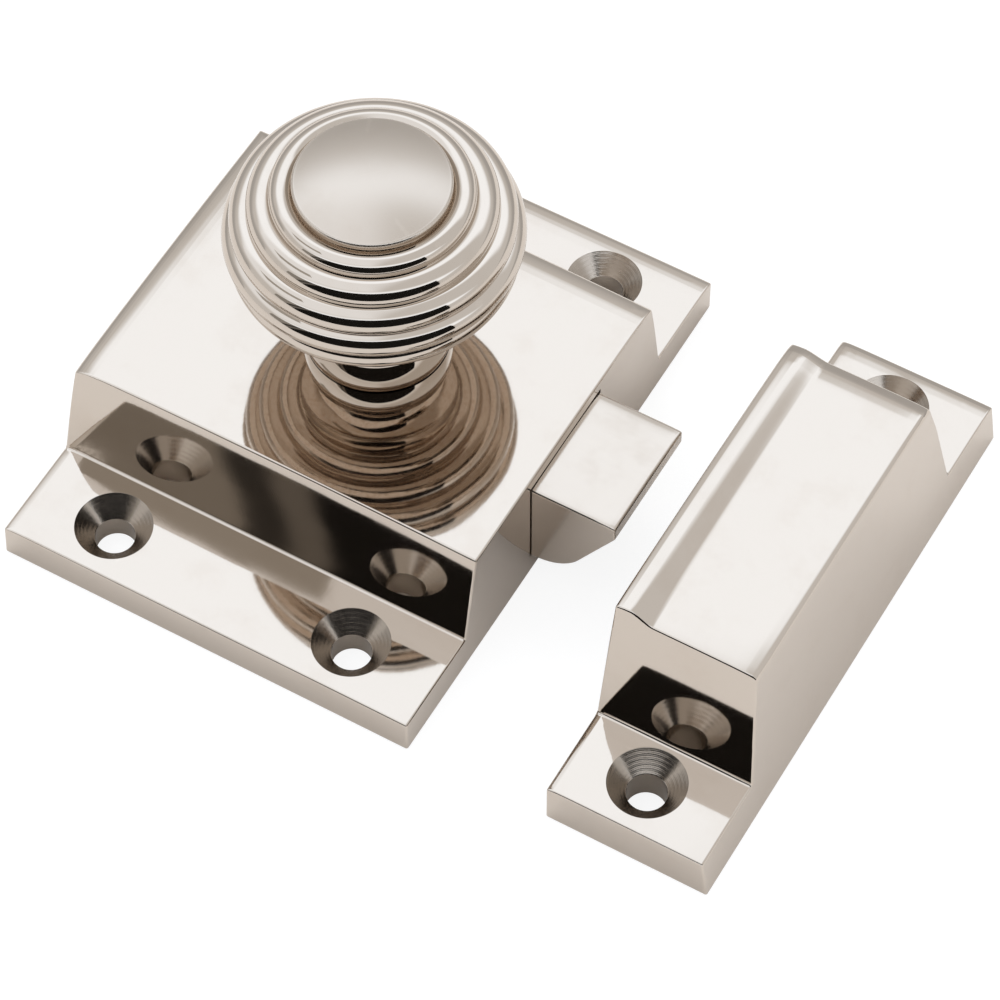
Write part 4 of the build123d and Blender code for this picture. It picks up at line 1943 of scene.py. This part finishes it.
    def make_card(self) -> None:
        """Hang the dark cards round the camera that the polished faces mirror."""
        front = radians(self.front)
        out = Vector((cos(front), sin(front), 0.0)) * self.card_distance
        along = Vector((-sin(front), cos(front), 0.0))
        corners = [out + along * place + Vector((0.0, 0.0, height)) for place, height in self.card_outline]
        graph, glow = self.hang_card("dark_card", self.card_tone, corners)
        place = graph.vector("SCALE", graph.add("ShaderNodeTexCoord").outputs["Object"])
        place.inputs["Scale"].default_value = 1 / MM
        side = graph.vector("DOT_PRODUCT", place.outputs[0], tuple(along)).outputs["Value"]
        height = graph.add("ShaderNodeSeparateXYZ", {0: place.outputs[0]}).outputs[2]
        lift = graph.math("MULTIPLY", graph.math("SUBTRACT", height, self.card_middle), self.card_slant)
        side = graph.math("ADD", side, lift)
        tone: object = self.grey(self.card_tone)
        for start, end, following in self.card_changes:
            tone = graph.blend(graph.smooth(side, start, end), tone, self.grey(following))
        graph.feed(glow.inputs["Color"], tone)
        middle = Vector(self.hood_place)
        half_x, half_y = self.hood_size[0] / 2, self.hood_size[1] / 2
        signs = ((-1, -1), (1, -1), (1, 1), (-1, 1))
        corners = tuple(middle + Vector((sx * half_x, sy * half_y, 0.0)) for sx, sy in signs)
        self.hang_card("camera_hood", self.hood, corners)

    @staticmethod
    def grey(tone: float) -> Colour:
        """Give the slightly warm grey of the cards."""
        return tone, tone * 0.96, tone * 0.9

    def hang_card(
        self, name: str, tone: float, corners: Sequence[Vector]
    ) -> tuple[NodeGraph, bpy.types.Node]:
        """Hang one card that only mirroring surfaces see.

        Args:
            name: The card's name.
            tone: How bright it looks.
            corners: Its corners in millimetres.

        Returns:
            Its material's tree and the node that glows.
        """
        mesh = bpy.data.meshes.new(name)
        mesh.from_pydata([tuple(corner * MM) for corner in corners], [], [tuple(range(len(corners)))])
        cloth = bpy.data.materials.new(name)
        cloth.use_nodes = True
        graph = NodeGraph(cloth.node_tree)
        glow = graph.add("ShaderNodeEmission", {"Color": (*self.grey(tone), 1.0)})
        graph.add("ShaderNodeOutputMaterial", {"Surface": glow.outputs[0]})
        mesh.materials.append(cloth)
        card = bpy.data.objects.new(name, mesh)
        bpy.context.scene.collection.objects.link(card)
        card.visible_camera = False
        card.visible_diffuse = False
        card.visible_shadow = False
        card.visible_transmission = False
        return graph, glow

    def make_lamp(self) -> None:
        """Hang one soft lamp over the object."""
        data = bpy.data.lights.new("ceiling_lamp", "AREA")
        data.shape = "RECTANGLE"
        data.size, data.size_y = self.lamp_size
        data.energy = self.lamp_power
        lamp = bpy.data.objects.new("ceiling_lamp", data)
        lamp.location = self.lamp_place
        lamp.rotation_euler = Vector(self.lamp_place).to_track_quat("Z", "Y").to_euler()
        lamp.visible_camera = False
        lamp.visible_glossy = False
        bpy.context.scene.collection.objects.link(lamp)


def main() -> None:
    """Build the studio and every piece of the catch."""
    logging.basicConfig(level=logging.INFO, format="%(name)s %(message)s")
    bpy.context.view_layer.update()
    Studio().build()
    PlainWorks().build()
    CatchCase().build()
    Keeper().build()
    TurnedKnob().build()
    SpringBolt().build()
    BoltSpring().build()
    CoverScrews().build()


if __name__ == "__main__":
    main()
